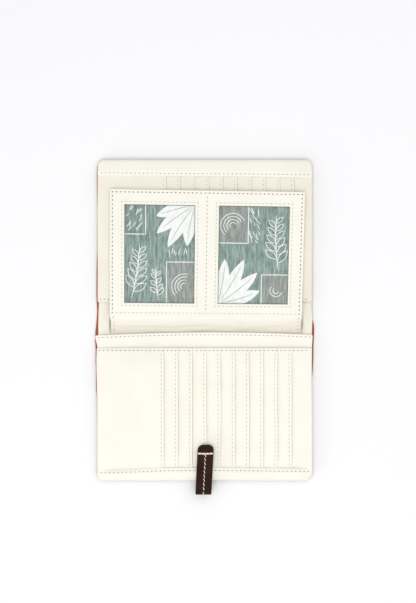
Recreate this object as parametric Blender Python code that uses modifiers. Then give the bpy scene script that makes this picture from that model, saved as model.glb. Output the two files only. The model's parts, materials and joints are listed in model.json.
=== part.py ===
"""A folding leather wallet lying open: two halves, a spine, a window page and a closing strap.

Metres, +Z up. X runs along the fold, +Y to the half under the window page, and the wallet lies on
Z = 0 with its origin under the middle of the spine.
"""

import math

import bmesh
import bpy
from mathutils import Matrix, Vector

OBJECT_NAME = "folding_wallet"

# Overall
BODY_WIDTH = 0.1766
BODY_LENGTH = 0.2644
SPINE_WIDTH = 0.0220
CORNER_RADIUS = 0.0050
LAYER_GAP = 0.0003
CREASE_CUT = 0.0003

# Cover and lining
COVER_THICKNESS = 0.0014
LINING_THICKNESS = 0.0008
LINING_CREASE_GAP = 0.0015
SIDE_BULGE = 0.0017
SIDE_BULGE_REACH = 0.0700
LINING_EDGE = 0.0004
LINING_WAIST = 0.0022
SIDE_STATIONS = 8

# Card pockets
POCKET_THICKNESS = 0.0009
PLAIN_PANELS = 0.07095
POCKET_OVERLAP = 0.0060
NARROW_POCKETS = 9
POCKET_SIDE_MARGIN = 0.0004
LOWER_WIDE_PANEL = 0.0546
UPPER_WIDE_PANEL = 0.0566
LOWER_MOUTH = 0.0225
UPPER_MOUTH = 0.0149
POCKET_END_TO_EDGE = 0.0077
BACKING_THICKNESS = 0.0007
BACKING_SETBACK = 0.0008
FABRIC_SETBACK = 0.0035
SLIP_THICKNESS = 0.0009
LEATHER_BEVEL = 0.00025
POCKET_CORNER_RADIUS = 0.0006

# Hem bands along the short edges
BAND_WIDTH_LOWER = 0.0110
BAND_WIDTH_UPPER = 0.0145
BAND_THICKNESS = 0.0008
BAND_SHOULDER = 0.0060
LOWER_EDGE_HEIGHT = 0.0056
UPPER_EDGE_HEIGHT = 0.0046

# Window page
PAGE_SIDE_SETBACK = 0.01790
PAGE_START = 0.0034
PAGE_END_SETBACK = 0.0259
PAGE_CENTRE_X = 0.00145
PAGE_CORNER_RADIUS = 0.0016
PAGE_LIFT = 0.0004
PAGE_BACK_THICKNESS = 0.0007
PAGE_FRONT_THICKNESS = 0.0008
INSERT_THICKNESS = 0.0003
FILM_THICKNESS = 0.00025
WINDOW_BAR = 0.0194
WINDOW_FROM_PAGE_SIDE = 0.01205
WINDOW_FROM_PAGE_START = 0.0102
WINDOW_FROM_PAGE_END = 0.0123
WINDOW_CORNER_RADIUS = 0.0008
INSERT_LAP = 0.0030

# Page hinge
HINGE_SIDE_SETBACK = 0.0210
HINGE_CENTRE_X = 0.0009
HINGE_THICKNESS = 0.0007
HINGE_FOOT_LENGTH = 0.0075
HINGE_HEIGHT_SHARE = 0.33
HINGE_KNEE_Y = -0.0022
BINDING_WIDTH = 0.0016
PAGE_SHIFT = 0.0110
PAGE_RAISE = 0.0012

# Strap
STRAP_WIDTH = 0.0139
STRAP_OUTER_THICKNESS = 0.0015
STRAP_LINING_THICKNESS = 0.0006
STRAP_OVERHANG = 0.0108
STRAP_TIP_LENGTH = 0.0188
STRAP_TIP_RADIUS = 0.0045
STRAP_FOLD_DROP = 0.0010
STRAP_BEND_STEPS = 14
MAGNET_RADIUS = 0.0030
TIP_MAGNET_THICKNESS = 0.0008
COVER_MAGNET_THICKNESS = 0.0012
MAGNET_FROM_TIP = 0.0037
MAGNET_SIDES = 28

# Shared drawing values
ARC_STEPS = 4
CORNER_STEPS = 6
CUT_OVERRUN = 0.0010
WELD_DISTANCE = 0.000003

# Levels of the layers
HALF_LENGTH = BODY_LENGTH / 2
HALF_WIDTH = BODY_WIDTH / 2
CREASE = SPINE_WIDTH / 2
PANEL_START = CREASE + CREASE_CUT / 2
POCKET_END = HALF_LENGTH - POCKET_END_TO_EDGE
POCKET_SIDE = HALF_WIDTH - POCKET_SIDE_MARGIN
POCKET_PITCH = (2 * POCKET_SIDE - PLAIN_PANELS) / NARROW_POCKETS
LOWER_FIRST_EDGE = LOWER_WIDE_PANEL - POCKET_SIDE
UPPER_FIRST_EDGE = UPPER_WIDE_PANEL - POCKET_SIDE
POCKET_WIDTH = POCKET_PITCH + POCKET_OVERLAP
POCKET_SLOPE = (POCKET_THICKNESS + LAYER_GAP) / POCKET_PITCH
POCKET_RISE = POCKET_SLOPE * POCKET_WIDTH
POCKET_STACK = POCKET_RISE + POCKET_THICKNESS

LINING_Z = COVER_THICKNESS + LAYER_GAP
FOOT_Z = LINING_Z + LINING_THICKNESS + LAYER_GAP
HINGE_ROOT_Z = FOOT_Z + HINGE_THICKNESS / 2
SLIP_Z = FOOT_Z + HINGE_THICKNESS + LAYER_GAP
LOWER_BACKING_Z = SLIP_Z + SLIP_THICKNESS + LAYER_GAP
LOWER_POCKET_Z = LOWER_BACKING_Z + BACKING_THICKNESS + LAYER_GAP
LOWER_TOP_Z = LOWER_POCKET_Z + POCKET_STACK
LOWER_BAND_TOP = LOWER_TOP_Z + LAYER_GAP + BAND_THICKNESS

UPPER_BACKING_Z = LINING_Z + max(COVER_MAGNET_THICKNESS, LINING_THICKNESS) + LAYER_GAP
UPPER_POCKET_Z = UPPER_BACKING_Z + BACKING_THICKNESS + LAYER_GAP
UPPER_TOP_Z = UPPER_POCKET_Z + POCKET_STACK
UPPER_BAND_TOP = UPPER_TOP_Z + LAYER_GAP + BAND_THICKNESS

PAGE_Z = UPPER_TOP_Z + PAGE_LIFT
INSERT_Z = PAGE_Z + PAGE_BACK_THICKNESS + LAYER_GAP
FILM_Z = INSERT_Z + INSERT_THICKNESS + LAYER_GAP
PAGE_FRONT_Z = FILM_Z + FILM_THICKNESS + LAYER_GAP
PAGE_TOP_Z = PAGE_FRONT_Z + PAGE_FRONT_THICKNESS
PAGE_END = HALF_LENGTH - PAGE_END_SETBACK
PAGE_WIDTH = BODY_WIDTH - PAGE_SIDE_SETBACK
WINDOW_WIDTH = (PAGE_WIDTH - WINDOW_BAR) / 2 - WINDOW_FROM_PAGE_SIDE
WINDOW_PITCH = WINDOW_WIDTH + WINDOW_BAR
WINDOW_LOW = PAGE_START + WINDOW_FROM_PAGE_START
WINDOW_HIGH = PAGE_END - WINDOW_FROM_PAGE_END
HINGE_WIDTH = BODY_WIDTH - HINGE_SIDE_SETBACK
BINDING_END = PAGE_START - LAYER_GAP
HINGE_END = BINDING_END - BINDING_WIDTH - LAYER_GAP
HINGE_TOP_Z = PAGE_Z + (PAGE_TOP_Z - PAGE_Z) * HINGE_HEIGHT_SHARE

STRAP_THICKNESS = STRAP_OUTER_THICKNESS + LAYER_GAP + STRAP_LINING_THICKNESS
STRAP_ROOT_Z = LINING_Z
STRAP_Z = LOWER_BAND_TOP + LAYER_GAP
STRAP_TOP_Z = STRAP_Z + STRAP_THICKNESS
STRAP_OUTER_Z = STRAP_TOP_Z - STRAP_OUTER_THICKNESS
STRAP_BEND_Z = (STRAP_ROOT_Z + STRAP_TOP_Z) / 2
STRAP_BEND_RADIUS = (STRAP_TOP_Z - STRAP_ROOT_Z) / 2
STRAP_BEND_Y = STRAP_BEND_RADIUS - HALF_LENGTH - STRAP_OVERHANG
STRAP_ROOT_END = -POCKET_END - LAYER_GAP

# Axes of the folds: a wallet closed over its spine is this thick
CLOSED_THICKNESS = SPINE_WIDTH + 2 * COVER_THICKNESS
STRAP_FOLD_Z = STRAP_Z - STRAP_FOLD_DROP
STRAP_FOLD_Y = STRAP_BEND_Y + CLOSED_THICKNESS + LAYER_GAP - STRAP_FOLD_DROP - STRAP_BEND_Z
STRAP_TIP_END = STRAP_FOLD_Y + STRAP_TIP_LENGTH
STRAP_CLOSED_SHIFT = STRAP_BEND_Y - STRAP_FOLD_Z + STRAP_BEND_Z - STRAP_FOLD_Y
TIP_MAGNET_Y = STRAP_TIP_END - MAGNET_FROM_TIP
COVER_MAGNET_Y = -(TIP_MAGNET_Y + STRAP_CLOSED_SHIFT)
LINING_END = COVER_MAGNET_Y - MAGNET_RADIUS - LAYER_GAP
PAGE_TURN_Y = PAGE_START - LAYER_GAP / 2

# The closing wallet carries the page with the upper half and draws it away from the spine. One turn on
# the spine does both: the page ends PAGE_SHIFT further out and PAGE_RAISE off the upper pockets.
PAGE_FOLD_Y = CREASE - (PAGE_SHIFT + PAGE_RAISE) / 2
PAGE_FOLD_Z = COVER_THICKNESS + (PAGE_SHIFT - PAGE_RAISE) / 2

AXES = {
    "spine_fold_axis": (0, -CREASE, COVER_THICKNESS),
    "cover_fold_axis": (0, CREASE, COVER_THICKNESS),
    "page_fold_axis": (0, PAGE_FOLD_Y, PAGE_FOLD_Z),
    "page_turn_axis": (0, PAGE_TURN_Y, PAGE_TOP_Z),
    "strap_lift_axis": (0, STRAP_BEND_Y, STRAP_BEND_Z),
    "strap_tip_fold_axis": (0, STRAP_FOLD_Y, STRAP_FOLD_Z),
}


def clear_scene():
    for old in list(bpy.data.objects):
        bpy.data.objects.remove(old, do_unlink=True)


def new_collection(name):
    collection = bpy.data.collections.new(name)
    bpy.context.scene.collection.children.link(collection)
    return collection


def new_material(name, colour, roughness, metallic=0.0, alpha=1.0):
    material = bpy.data.materials.new(name)
    material.use_nodes = True
    shader = material.node_tree.nodes["Principled BSDF"]
    shader.inputs["Base Color"].default_value = (*colour, 1.0)
    shader.inputs["Roughness"].default_value = roughness
    shader.inputs["Metallic"].default_value = metallic
    shader.inputs["Alpha"].default_value = alpha
    return material


clear_scene()
PARTS = new_collection(OBJECT_NAME)
CUTTERS = new_collection(OBJECT_NAME + "_cutters")

CREAM = new_material("cream_leather", (0.93, 0.91, 0.83), 0.60)
TAN = new_material("tan_leather", (0.44, 0.12, 0.04), 0.55)
BROWN = new_material("brown_leather", (0.035, 0.014, 0.012), 0.50)
FABRIC = new_material("pocket_fabric", (0.86, 0.83, 0.74), 0.85)
BOARD = new_material("backing_board", (0.80, 0.76, 0.66), 0.80)
FILM = new_material("clear_film", (0.92, 0.95, 0.95), 0.08, alpha=0.30)
PRINT = new_material("printed_card", (0.20, 0.36, 0.31), 0.50)
STEEL = new_material("magnet_steel", (0.60, 0.60, 0.62), 0.30, metallic=1.0)


def put(name, mesh, collection, material=None):
    """A new object for a mesh that is drawn in world coordinates."""
    made = bpy.data.objects.new(name, mesh)
    collection.objects.link(made)
    if material:
        mesh.materials.append(material)
    return made


def arc(centre, radius, start, end, steps):
    """Points along an arc, angles in radians."""
    turns = [start + (end - start) * step / steps for step in range(steps + 1)]
    return [(centre[0] + radius * math.cos(turn), centre[1] + radius * math.sin(turn)) for turn in turns]


def rounded(corners, radii, steps=ARC_STEPS):
    """A closed outline with each corner rounded by its own radius."""
    outline = []
    for index, corner in enumerate(corners):
        radius = radii[index]
        here = Vector(corner)
        if radius == 0:
            outline.append(tuple(here))
            continue
        before = (Vector(corners[index - 1]) - here).normalized()
        after = (Vector(corners[(index + 1) % len(corners)]) - here).normalized()
        half_angle = before.angle(after) / 2
        reach = radius / math.tan(half_angle)
        centre = here + (before + after).normalized() * radius / math.sin(half_angle)
        first = here + before * reach - centre
        last = here + after * reach - centre
        start = math.atan2(first.y, first.x)
        sweep = first.angle_signed(last)
        outline += arc(centre, radius, start, start - sweep, steps)
    return outline


def box_outline(left, right, low, high, radius=0.0):
    corners = [(left, low), (right, low), (right, high), (left, high)]
    return rounded(corners, [radius] * len(corners))


def outline_mesh(name, outlines, depth, place):
    """A flat outline, with any holes, filled and made a solid plate of the given depth."""
    curve = bpy.data.curves.new(name, "CURVE")
    curve.dimensions = "2D"
    curve.fill_mode = "BOTH"
    curve.extrude = depth / 2
    for outline in outlines:
        spline = curve.splines.new("POLY")
        spline.points.add(len(outline) - 1)
        for point, spot in zip(spline.points, outline):
            point.co = (spot[0], spot[1], 0, 1)
        spline.use_cyclic_u = True
    drawn = put(name + "_outline", curve, CUTTERS)
    drawn.matrix_world = place
    bpy.context.view_layer.update()
    evaluated = drawn.evaluated_get(bpy.context.evaluated_depsgraph_get())
    mesh = bpy.data.meshes.new_from_object(evaluated)
    mesh.transform(place)
    bpy.data.objects.remove(drawn, do_unlink=True)
    mesh.name = name
    tidy = bmesh.new()
    tidy.from_mesh(mesh)
    bmesh.ops.remove_doubles(tidy, verts=tidy.verts, dist=WELD_DISTANCE)
    bmesh.ops.recalc_face_normals(tidy, faces=tidy.faces)
    tidy.to_mesh(mesh)
    tidy.free()
    return mesh


def soften(target, width, segments=2):
    """Rolls the edges of a piece."""
    bevel = target.modifiers.new("rolled_edge", "BEVEL")
    bevel.width = width
    bevel.segments = segments
    bevel.limit_method = "ANGLE"
    bevel.angle_limit = math.radians(40)
    return target


def sheet(name, outlines, low, thickness, material, bevel=LEATHER_BEVEL, segments=2):
    """A piece cut from flat stock: outlines seen from above, resting at height low."""
    place = Matrix.Translation((0, 0, low + thickness / 2))
    made = put(name, outline_mesh(name, outlines, thickness, place), PARTS, material)
    if bevel:
        soften(made, bevel, segments)
    return made


def ribbon(name, profile, centre_x, width, material, bevel=LEATHER_BEVEL, collection=PARTS):
    """A piece with one profile in Y and Z all along X."""
    turn = Matrix(((0, 0, 1, centre_x), (1, 0, 0, 0), (0, 1, 0, 0), (0, 0, 0, 1)))
    made = put(name, outline_mesh(name, [profile], width, turn), collection, material)
    if bevel:
        soften(made, bevel)
    return made


def block(name, low, high, collection, material=None):
    """A box between two corners."""
    mesh = bpy.data.meshes.new(name)
    build = bmesh.new()
    bmesh.ops.create_cube(build, size=1)
    size = [high[i] - low[i] for i in range(3)]
    bmesh.ops.scale(build, vec=size, verts=build.verts)
    middle = [(high[i] + low[i]) / 2 for i in range(3)]
    bmesh.ops.translate(build, vec=middle, verts=build.verts)
    build.to_mesh(mesh)
    build.free()
    return put(name, mesh, collection, material)


def disc(name, radius, low, high, y, collection, material=None):
    """A round disc that lies flat."""
    mesh = bpy.data.meshes.new(name)
    build = bmesh.new()
    bmesh.ops.create_cone(
        build, cap_ends=True, segments=MAGNET_SIDES, radius1=radius, radius2=radius, depth=high - low
    )
    bmesh.ops.translate(build, vec=(0, y, (low + high) / 2), verts=build.verts)
    build.to_mesh(mesh)
    build.free()
    made = put(name, mesh, collection, material)
    mesh.shade_smooth()
    mesh.set_sharp_from_angle(angle=math.radians(40))
    return made


def cut(target, cutter, operation="DIFFERENCE"):
    """Takes a cutter's shape out of a piece, or keeps only what lies in it, before its edges are rolled."""
    cutter.hide_render = True
    cutter.display_type = "WIRE"
    taken = target.modifiers.new("cut_" + cutter.name, "BOOLEAN")
    taken.operation = operation
    taken.solver = "EXACT"
    taken.object = cutter
    return target


def side_at(y, base, change, reach):
    """Half width at a distance from the fold line: base, plus a change that fades over reach."""
    near = max(0.0, 1.0 - abs(y) / reach)
    return base + change * near * near * (3 - 2 * near)


def panel_outline(start, end, base, change, end_radius):
    """A panel from start to end along +Y, with gently bowed sides and rounded outer corners."""
    flat_end = end - end_radius
    stations = [start + (flat_end - start) * step / SIDE_STATIONS for step in range(SIDE_STATIONS + 1)]
    right = [(side_at(y, base, change, SIDE_BULGE_REACH), y) for y in stations]
    corner_x = base - end_radius
    corner = arc((corner_x, flat_end), end_radius, 0, math.pi / 2, CORNER_STEPS)[1:]
    half = right + corner
    return half + [(-x, y) for x, y in reversed(half)]


def mirrored_y(outline):
    return [(x, -y) for x, y in reversed(outline)]


def make_cover():
    """Three stretches of the tan outer skin, parted at the creases."""
    end = panel_outline(PANEL_START, HALF_LENGTH, HALF_WIDTH, SIDE_BULGE, CORNER_RADIUS)
    upper = sheet("cover_upper", [end], 0, COVER_THICKNESS, TAN)
    lower = sheet("cover_lower", [mirrored_y(end)], 0, COVER_THICKNESS, TAN)
    reach = CREASE - CREASE_CUT / 2
    side = side_at(0, HALF_WIDTH, SIDE_BULGE, SIDE_BULGE_REACH)
    spine = sheet("cover_spine", [box_outline(-side, side, -reach, reach)], 0, COVER_THICKNESS, TAN)
    return lower, spine, upper


def make_lining():
    """Three stretches of the cream inner skin, drawn in at the sides near the fold."""
    base = HALF_WIDTH - LINING_EDGE
    end = panel_outline(PANEL_START, LINING_END, base, -LINING_WAIST, LAYER_GAP)
    upper = sheet("lining_upper", [end], LINING_Z, LINING_THICKNESS, CREAM)
    lower = sheet("lining_lower", [mirrored_y(end)], LINING_Z, LINING_THICKNESS, CREAM)
    reach = CREASE - LINING_CREASE_GAP
    side = side_at(0, base, -LINING_WAIST, SIDE_BULGE_REACH)
    spine = sheet(
        "lining_spine", [box_outline(-side, side, -reach, reach)], LINING_Z, LINING_THICKNESS, CREAM
    )
    return lower, spine, upper


def flat_panel(name, left, right, side_sign, near, far, low, thickness, material, radius):
    """A flat panel on one half. near and far are distances from the fold line."""
    ends = sorted((side_sign * near, side_sign * far))
    outline = box_outline(left, right, ends[0], ends[1], radius)
    return sheet(name, [outline], low, thickness, material)


def sloped_pocket(name, left, right, side_sign, near, far, low, rise):
    """A pocket strip whose left side is tucked under its neighbour and whose right edge lies on top."""
    profile = [
        (left, low),
        (right, low + rise),
        (right, low + rise + POCKET_THICKNESS),
        (left, low + POCKET_THICKNESS),
    ]
    length = far - near
    middle = side_sign * (near + far) / 2
    stand = Matrix(((1, 0, 0, 0), (0, 0, 1, middle), (0, 1, 0, 0), (0, 0, 0, 1)))
    made = put(name, outline_mesh(name, [profile], length, stand), PARTS, CREAM)
    return soften(made, LEATHER_BEVEL, 1)


def make_card_pockets(prefix, side_sign, first_edge, mouth, low):
    """A wide plain panel and shingled narrow pockets beside it, all open to the right."""
    made = []
    wide_low = low + POCKET_RISE
    made.append(
        flat_panel(
            f"{prefix}_pocket_01", -POCKET_SIDE, first_edge, side_sign, mouth, POCKET_END,
            wide_low, POCKET_THICKNESS, CREAM, POCKET_CORNER_RADIUS,
        )
    )
    edge = first_edge
    for index in range(NARROW_POCKETS):
        edge = first_edge + POCKET_PITCH * (index + 1)
        name = f"{prefix}_pocket_{index + 2:02d}"
        made.append(
            sloped_pocket(name, edge - POCKET_WIDTH, edge, side_sign, mouth, POCKET_END, low, POCKET_RISE)
        )
    base_left = edge - POCKET_OVERLAP
    made.append(
        sloped_pocket(
            f"{prefix}_card_base", base_left, POCKET_SIDE, side_sign, mouth, POCKET_END, low, POCKET_RISE
        )
    )
    fabric_right = first_edge + POCKET_PITCH - POCKET_WIDTH - LAYER_GAP
    made.append(
        flat_panel(
            f"{prefix}_pocket_fabric", -POCKET_SIDE + BACKING_SETBACK, fabric_right, side_sign,
            mouth + FABRIC_SETBACK, POCKET_END - BACKING_SETBACK, low, POCKET_RISE - LAYER_GAP,
            FABRIC, POCKET_CORNER_RADIUS,
        )
    )
    return made


def make_backing(name, side_sign, mouth, low):
    side = POCKET_SIDE - BACKING_SETBACK
    return flat_panel(
        name, -side, side, side_sign, mouth + BACKING_SETBACK, POCKET_END, low, BACKING_THICKNESS,
        BOARD, POCKET_CORNER_RADIUS,
    )


def band_profile(side_sign, width, top, edge_height):
    """The hem over the pocket ends: a roof over them, then a solid edge down to the cover."""
    start = HALF_LENGTH - width
    inner = POCKET_END + LAYER_GAP
    shoulder = HALF_LENGTH - BAND_SHOULDER
    points = [
        (start, top - BAND_THICKNESS),
        (inner, top - BAND_THICKNESS),
        (inner, LINING_Z),
        (HALF_LENGTH, LINING_Z),
        (HALF_LENGTH, edge_height),
        (shoulder, top),
        (start, top),
    ]
    if side_sign > 0:
        return points
    return [(-y, z) for y, z in reversed(points)]


def round_band_corners(band, side_sign, top):
    """Keeps the part of a hem band that lies within the half's rounded outer corners."""
    end = HALF_LENGTH - LAYER_GAP
    outline = panel_outline(PANEL_START, end, POCKET_SIDE, 0, CORNER_RADIUS)
    if side_sign < 0:
        outline = mirrored_y(outline)
    name = band.name + "_corners"
    place = Matrix.Translation((0, 0, top / 2))
    return cut(band, put(name, outline_mesh(name, [outline], 2 * top, place), CUTTERS), "INTERSECT")


def make_bands():
    """Hem bands. The lower one has a slot for the strap, the upper one a recess for the magnet."""
    width = 2 * (POCKET_SIDE + CUT_OVERRUN)
    lower_profile = band_profile(-1, BAND_WIDTH_LOWER, LOWER_BAND_TOP, LOWER_EDGE_HEIGHT)
    lower = ribbon("lower_edge_band", lower_profile, 0, width, CREAM, bevel=0)
    round_band_corners(lower, -1, LOWER_BAND_TOP)
    slot_side = STRAP_WIDTH / 2 + LAYER_GAP
    slot = block(
        "strap_slot",
        (-slot_side, -HALF_LENGTH - CUT_OVERRUN, LINING_Z - CUT_OVERRUN),
        (slot_side, STRAP_ROOT_END + CUT_OVERRUN, STRAP_ROOT_Z + STRAP_THICKNESS + LAYER_GAP),
        CUTTERS,
    )
    soften(cut(lower, slot), LEATHER_BEVEL)
    upper_profile = band_profile(1, BAND_WIDTH_UPPER, UPPER_BAND_TOP, UPPER_EDGE_HEIGHT)
    upper = ribbon("upper_edge_band", upper_profile, 0, width, CREAM, bevel=0)
    round_band_corners(upper, 1, UPPER_BAND_TOP)
    recess = disc(
        "magnet_recess", MAGNET_RADIUS + LAYER_GAP, LINING_Z - CUT_OVERRUN,
        LINING_Z + COVER_MAGNET_THICKNESS + LAYER_GAP, COVER_MAGNET_Y, CUTTERS,
    )
    soften(cut(upper, recess), LEATHER_BEVEL)
    return lower, upper


def make_slip_pocket():
    return flat_panel(
        "slip_pocket", -POCKET_SIDE, POCKET_SIDE, -1, PANEL_START, POCKET_END, SLIP_Z, SLIP_THICKNESS,
        CREAM, POCKET_CORNER_RADIUS,
    )


def thick_line(middle_line, thickness):
    """A closed outline of even thickness along a line of points."""
    one_side, other_side = [], []
    for index, spot in enumerate(middle_line):
        before = Vector(middle_line[max(index - 1, 0)])
        after = Vector(middle_line[min(index + 1, len(middle_line) - 1)])
        along = (after - before).normalized()
        across = Vector((-along.y, along.x)) * thickness / 2
        one_side.append(tuple(Vector(spot) - across))
        other_side.append(tuple(Vector(spot) + across))
    return one_side + other_side[::-1]


def make_page_hinge():
    """The soft strip that carries the page: a foot sewn down under the slip pocket, a stretch over the
    spine that rises to the page, and a binding along the page's lower edge."""
    side = HINGE_WIDTH / 2
    left, right = HINGE_CENTRE_X - side, HINGE_CENTRE_X + side
    foot_end = -CREASE - LAYER_GAP
    foot = box_outline(left, right, foot_end - HINGE_FOOT_LENGTH, foot_end)
    root = sheet("page_hinge_root", [foot], FOOT_Z, HINGE_THICKNESS, CREAM)
    middle_line = [(-CREASE, HINGE_ROOT_Z), (HINGE_KNEE_Y, HINGE_TOP_Z), (HINGE_END, HINGE_TOP_Z)]
    profile = thick_line(middle_line, HINGE_THICKNESS)
    strip = ribbon("page_hinge_strip", profile, HINGE_CENTRE_X, HINGE_WIDTH, CREAM)
    edge = box_outline(left, right, BINDING_END - BINDING_WIDTH, BINDING_END)
    binding = sheet("page_binding", [edge], HINGE_TOP_Z - HINGE_THICKNESS / 2, HINGE_THICKNESS, CREAM)
    return root, strip, binding


def window_centres():
    return {"left": PAGE_CENTRE_X - WINDOW_PITCH / 2, "right": PAGE_CENTRE_X + WINDOW_PITCH / 2}


def window_outline(centre, grow, radius):
    half = WINDOW_WIDTH / 2 + grow
    return box_outline(centre - half, centre + half, WINDOW_LOW - grow, WINDOW_HIGH + grow, radius)


def make_window_page():
    """Front leather with two cut-outs, a core frame round the film and print behind each, and the back."""
    half = PAGE_WIDTH / 2
    page = box_outline(
        PAGE_CENTRE_X - half, PAGE_CENTRE_X + half, PAGE_START, PAGE_END, PAGE_CORNER_RADIUS
    )
    holes, seats, made = [], [], []
    for name, centre in window_centres().items():
        holes.append(window_outline(centre, 0, WINDOW_CORNER_RADIUS))
        seats.append(window_outline(centre, INSERT_LAP + LAYER_GAP, WINDOW_CORNER_RADIUS))
        outline = window_outline(centre, INSERT_LAP, WINDOW_CORNER_RADIUS)
        made.append(sheet(f"window_insert_{name}", [outline], INSERT_Z, INSERT_THICKNESS, PRINT, bevel=0))
        made.append(sheet(f"window_film_{name}", [outline], FILM_Z, FILM_THICKNESS, FILM, bevel=0))
    made.append(sheet("page_front", [page, *holes], PAGE_FRONT_Z, PAGE_FRONT_THICKNESS, CREAM))
    core_thickness = PAGE_FRONT_Z - LAYER_GAP - INSERT_Z
    made.append(sheet("page_core", [page, *seats], INSERT_Z, core_thickness, BOARD))
    made.append(sheet("page_back", [page], PAGE_Z, PAGE_BACK_THICKNESS, CREAM))
    return made


def make_strap():
    """The closing strap: sewn end, loop round the edge, straight stretch and the tip with its magnet."""
    half_thickness = STRAP_THICKNESS / 2
    middle_radius = STRAP_BEND_RADIUS - half_thickness
    root_line = [
        (STRAP_ROOT_END, STRAP_ROOT_Z + half_thickness),
        (-HALF_LENGTH, STRAP_ROOT_Z + half_thickness),
    ]
    root = ribbon("strap_root", thick_line(root_line, STRAP_THICKNESS), 0, STRAP_WIDTH, BROWN)
    bend_line = [(-HALF_LENGTH - LAYER_GAP, STRAP_ROOT_Z + half_thickness)]
    bend_line += arc(
        (STRAP_BEND_Y, STRAP_BEND_Z), middle_radius, -math.pi / 2, -3 * math.pi / 2, STRAP_BEND_STEPS
    )
    bend = ribbon("strap_bend", thick_line(bend_line, STRAP_THICKNESS), 0, STRAP_WIDTH, BROWN, bevel=0)
    side = STRAP_WIDTH / 2
    shank_outline = box_outline(-side, side, STRAP_BEND_Y + LAYER_GAP, STRAP_FOLD_Y - LAYER_GAP / 2)
    shank = sheet("strap_shank", [shank_outline], STRAP_Z, STRAP_THICKNESS, BROWN)
    start = STRAP_FOLD_Y + LAYER_GAP / 2
    corners = [(-side, start), (side, start), (side, STRAP_TIP_END), (-side, STRAP_TIP_END)]
    outline = rounded(corners, [0, 0, STRAP_TIP_RADIUS, STRAP_TIP_RADIUS], CORNER_STEPS)
    tip = sheet("strap_tip", [outline], STRAP_OUTER_Z, STRAP_OUTER_THICKNESS, BROWN, bevel=0)
    recess = disc(
        "tip_recess", MAGNET_RADIUS + LAYER_GAP, STRAP_OUTER_Z - CUT_OVERRUN,
        STRAP_OUTER_Z + TIP_MAGNET_THICKNESS + LAYER_GAP, TIP_MAGNET_Y, CUTTERS,
    )
    soften(cut(tip, recess), LEATHER_BEVEL)
    lining = sheet("strap_tip_lining", [outline], STRAP_Z, STRAP_LINING_THICKNESS, BROWN)
    return root, bend, shank, tip, lining


def make_magnets():
    tip = disc(
        "tip_magnet", MAGNET_RADIUS, STRAP_OUTER_Z, STRAP_OUTER_Z + TIP_MAGNET_THICKNESS, TIP_MAGNET_Y,
        PARTS, STEEL,
    )
    cover = disc(
        "cover_magnet", MAGNET_RADIUS, LINING_Z, LINING_Z + COVER_MAGNET_THICKNESS, COVER_MAGNET_Y,
        PARTS, STEEL,
    )
    return tip, cover


def hold_on_axes(groups):
    """Parents each moving piece to an empty on its joint's axis, where the piece already lies."""
    empties = {}
    for name, spot in AXES.items():
        empty = bpy.data.objects.new(name, None)
        empty.location = spot
        empty.empty_display_size = SPINE_WIDTH / 2
        PARTS.objects.link(empty)
        empties[name] = empty
    bpy.context.view_layer.update()
    for name, pieces in groups.items():
        for piece in pieces:
            piece.parent = empties[name]
            piece.matrix_parent_inverse = empties[name].matrix_world.inverted()
    chain = {
        "cover_fold_axis": "spine_fold_axis",
        "page_fold_axis": "spine_fold_axis",
        "page_turn_axis": "page_fold_axis",
        "strap_tip_fold_axis": "strap_lift_axis",
    }
    for child, parent in chain.items():
        empties[child].parent = empties[parent]
        empties[child].matrix_parent_inverse = empties[parent].matrix_world.inverted()


def main():
    _, cover_spine, cover_upper = make_cover()
    _, lining_spine, lining_upper = make_lining()
    make_slip_pocket()
    make_backing("lower_card_backing", -1, LOWER_MOUTH, LOWER_BACKING_Z)
    make_card_pockets("lower", -1, LOWER_FIRST_EDGE, LOWER_MOUTH, LOWER_POCKET_Z)
    upper_backing = make_backing("upper_card_backing", 1, UPPER_MOUTH, UPPER_BACKING_Z)
    upper_pockets = make_card_pockets("upper", 1, UPPER_FIRST_EDGE, UPPER_MOUTH, UPPER_POCKET_Z)
    _, upper_band = make_bands()
    _, hinge_strip, page_binding = make_page_hinge()
    page = make_window_page()
    _, _, shank, tip, tip_lining = make_strap()
    tip_magnet, cover_magnet = make_magnets()
    hold_on_axes(
        {
            "spine_fold_axis": [cover_spine, lining_spine, hinge_strip],
            "cover_fold_axis": [
                cover_upper, lining_upper, upper_backing, *upper_pockets, upper_band, cover_magnet
            ],
            "page_fold_axis": [page_binding],
            "page_turn_axis": page,
            "strap_lift_axis": [shank],
            "strap_tip_fold_axis": [tip, tip_lining, tip_magnet],
        }
    )


main()
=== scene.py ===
"""Looks of a folding leather wallet lying open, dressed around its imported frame.

Every leather piece of the frame is replaced by a finer one: a sheet with rolled edges, seams that are
pressed in, and thread. Metres, +Z up, as in the frame.
"""

import json
import math
import random

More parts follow.
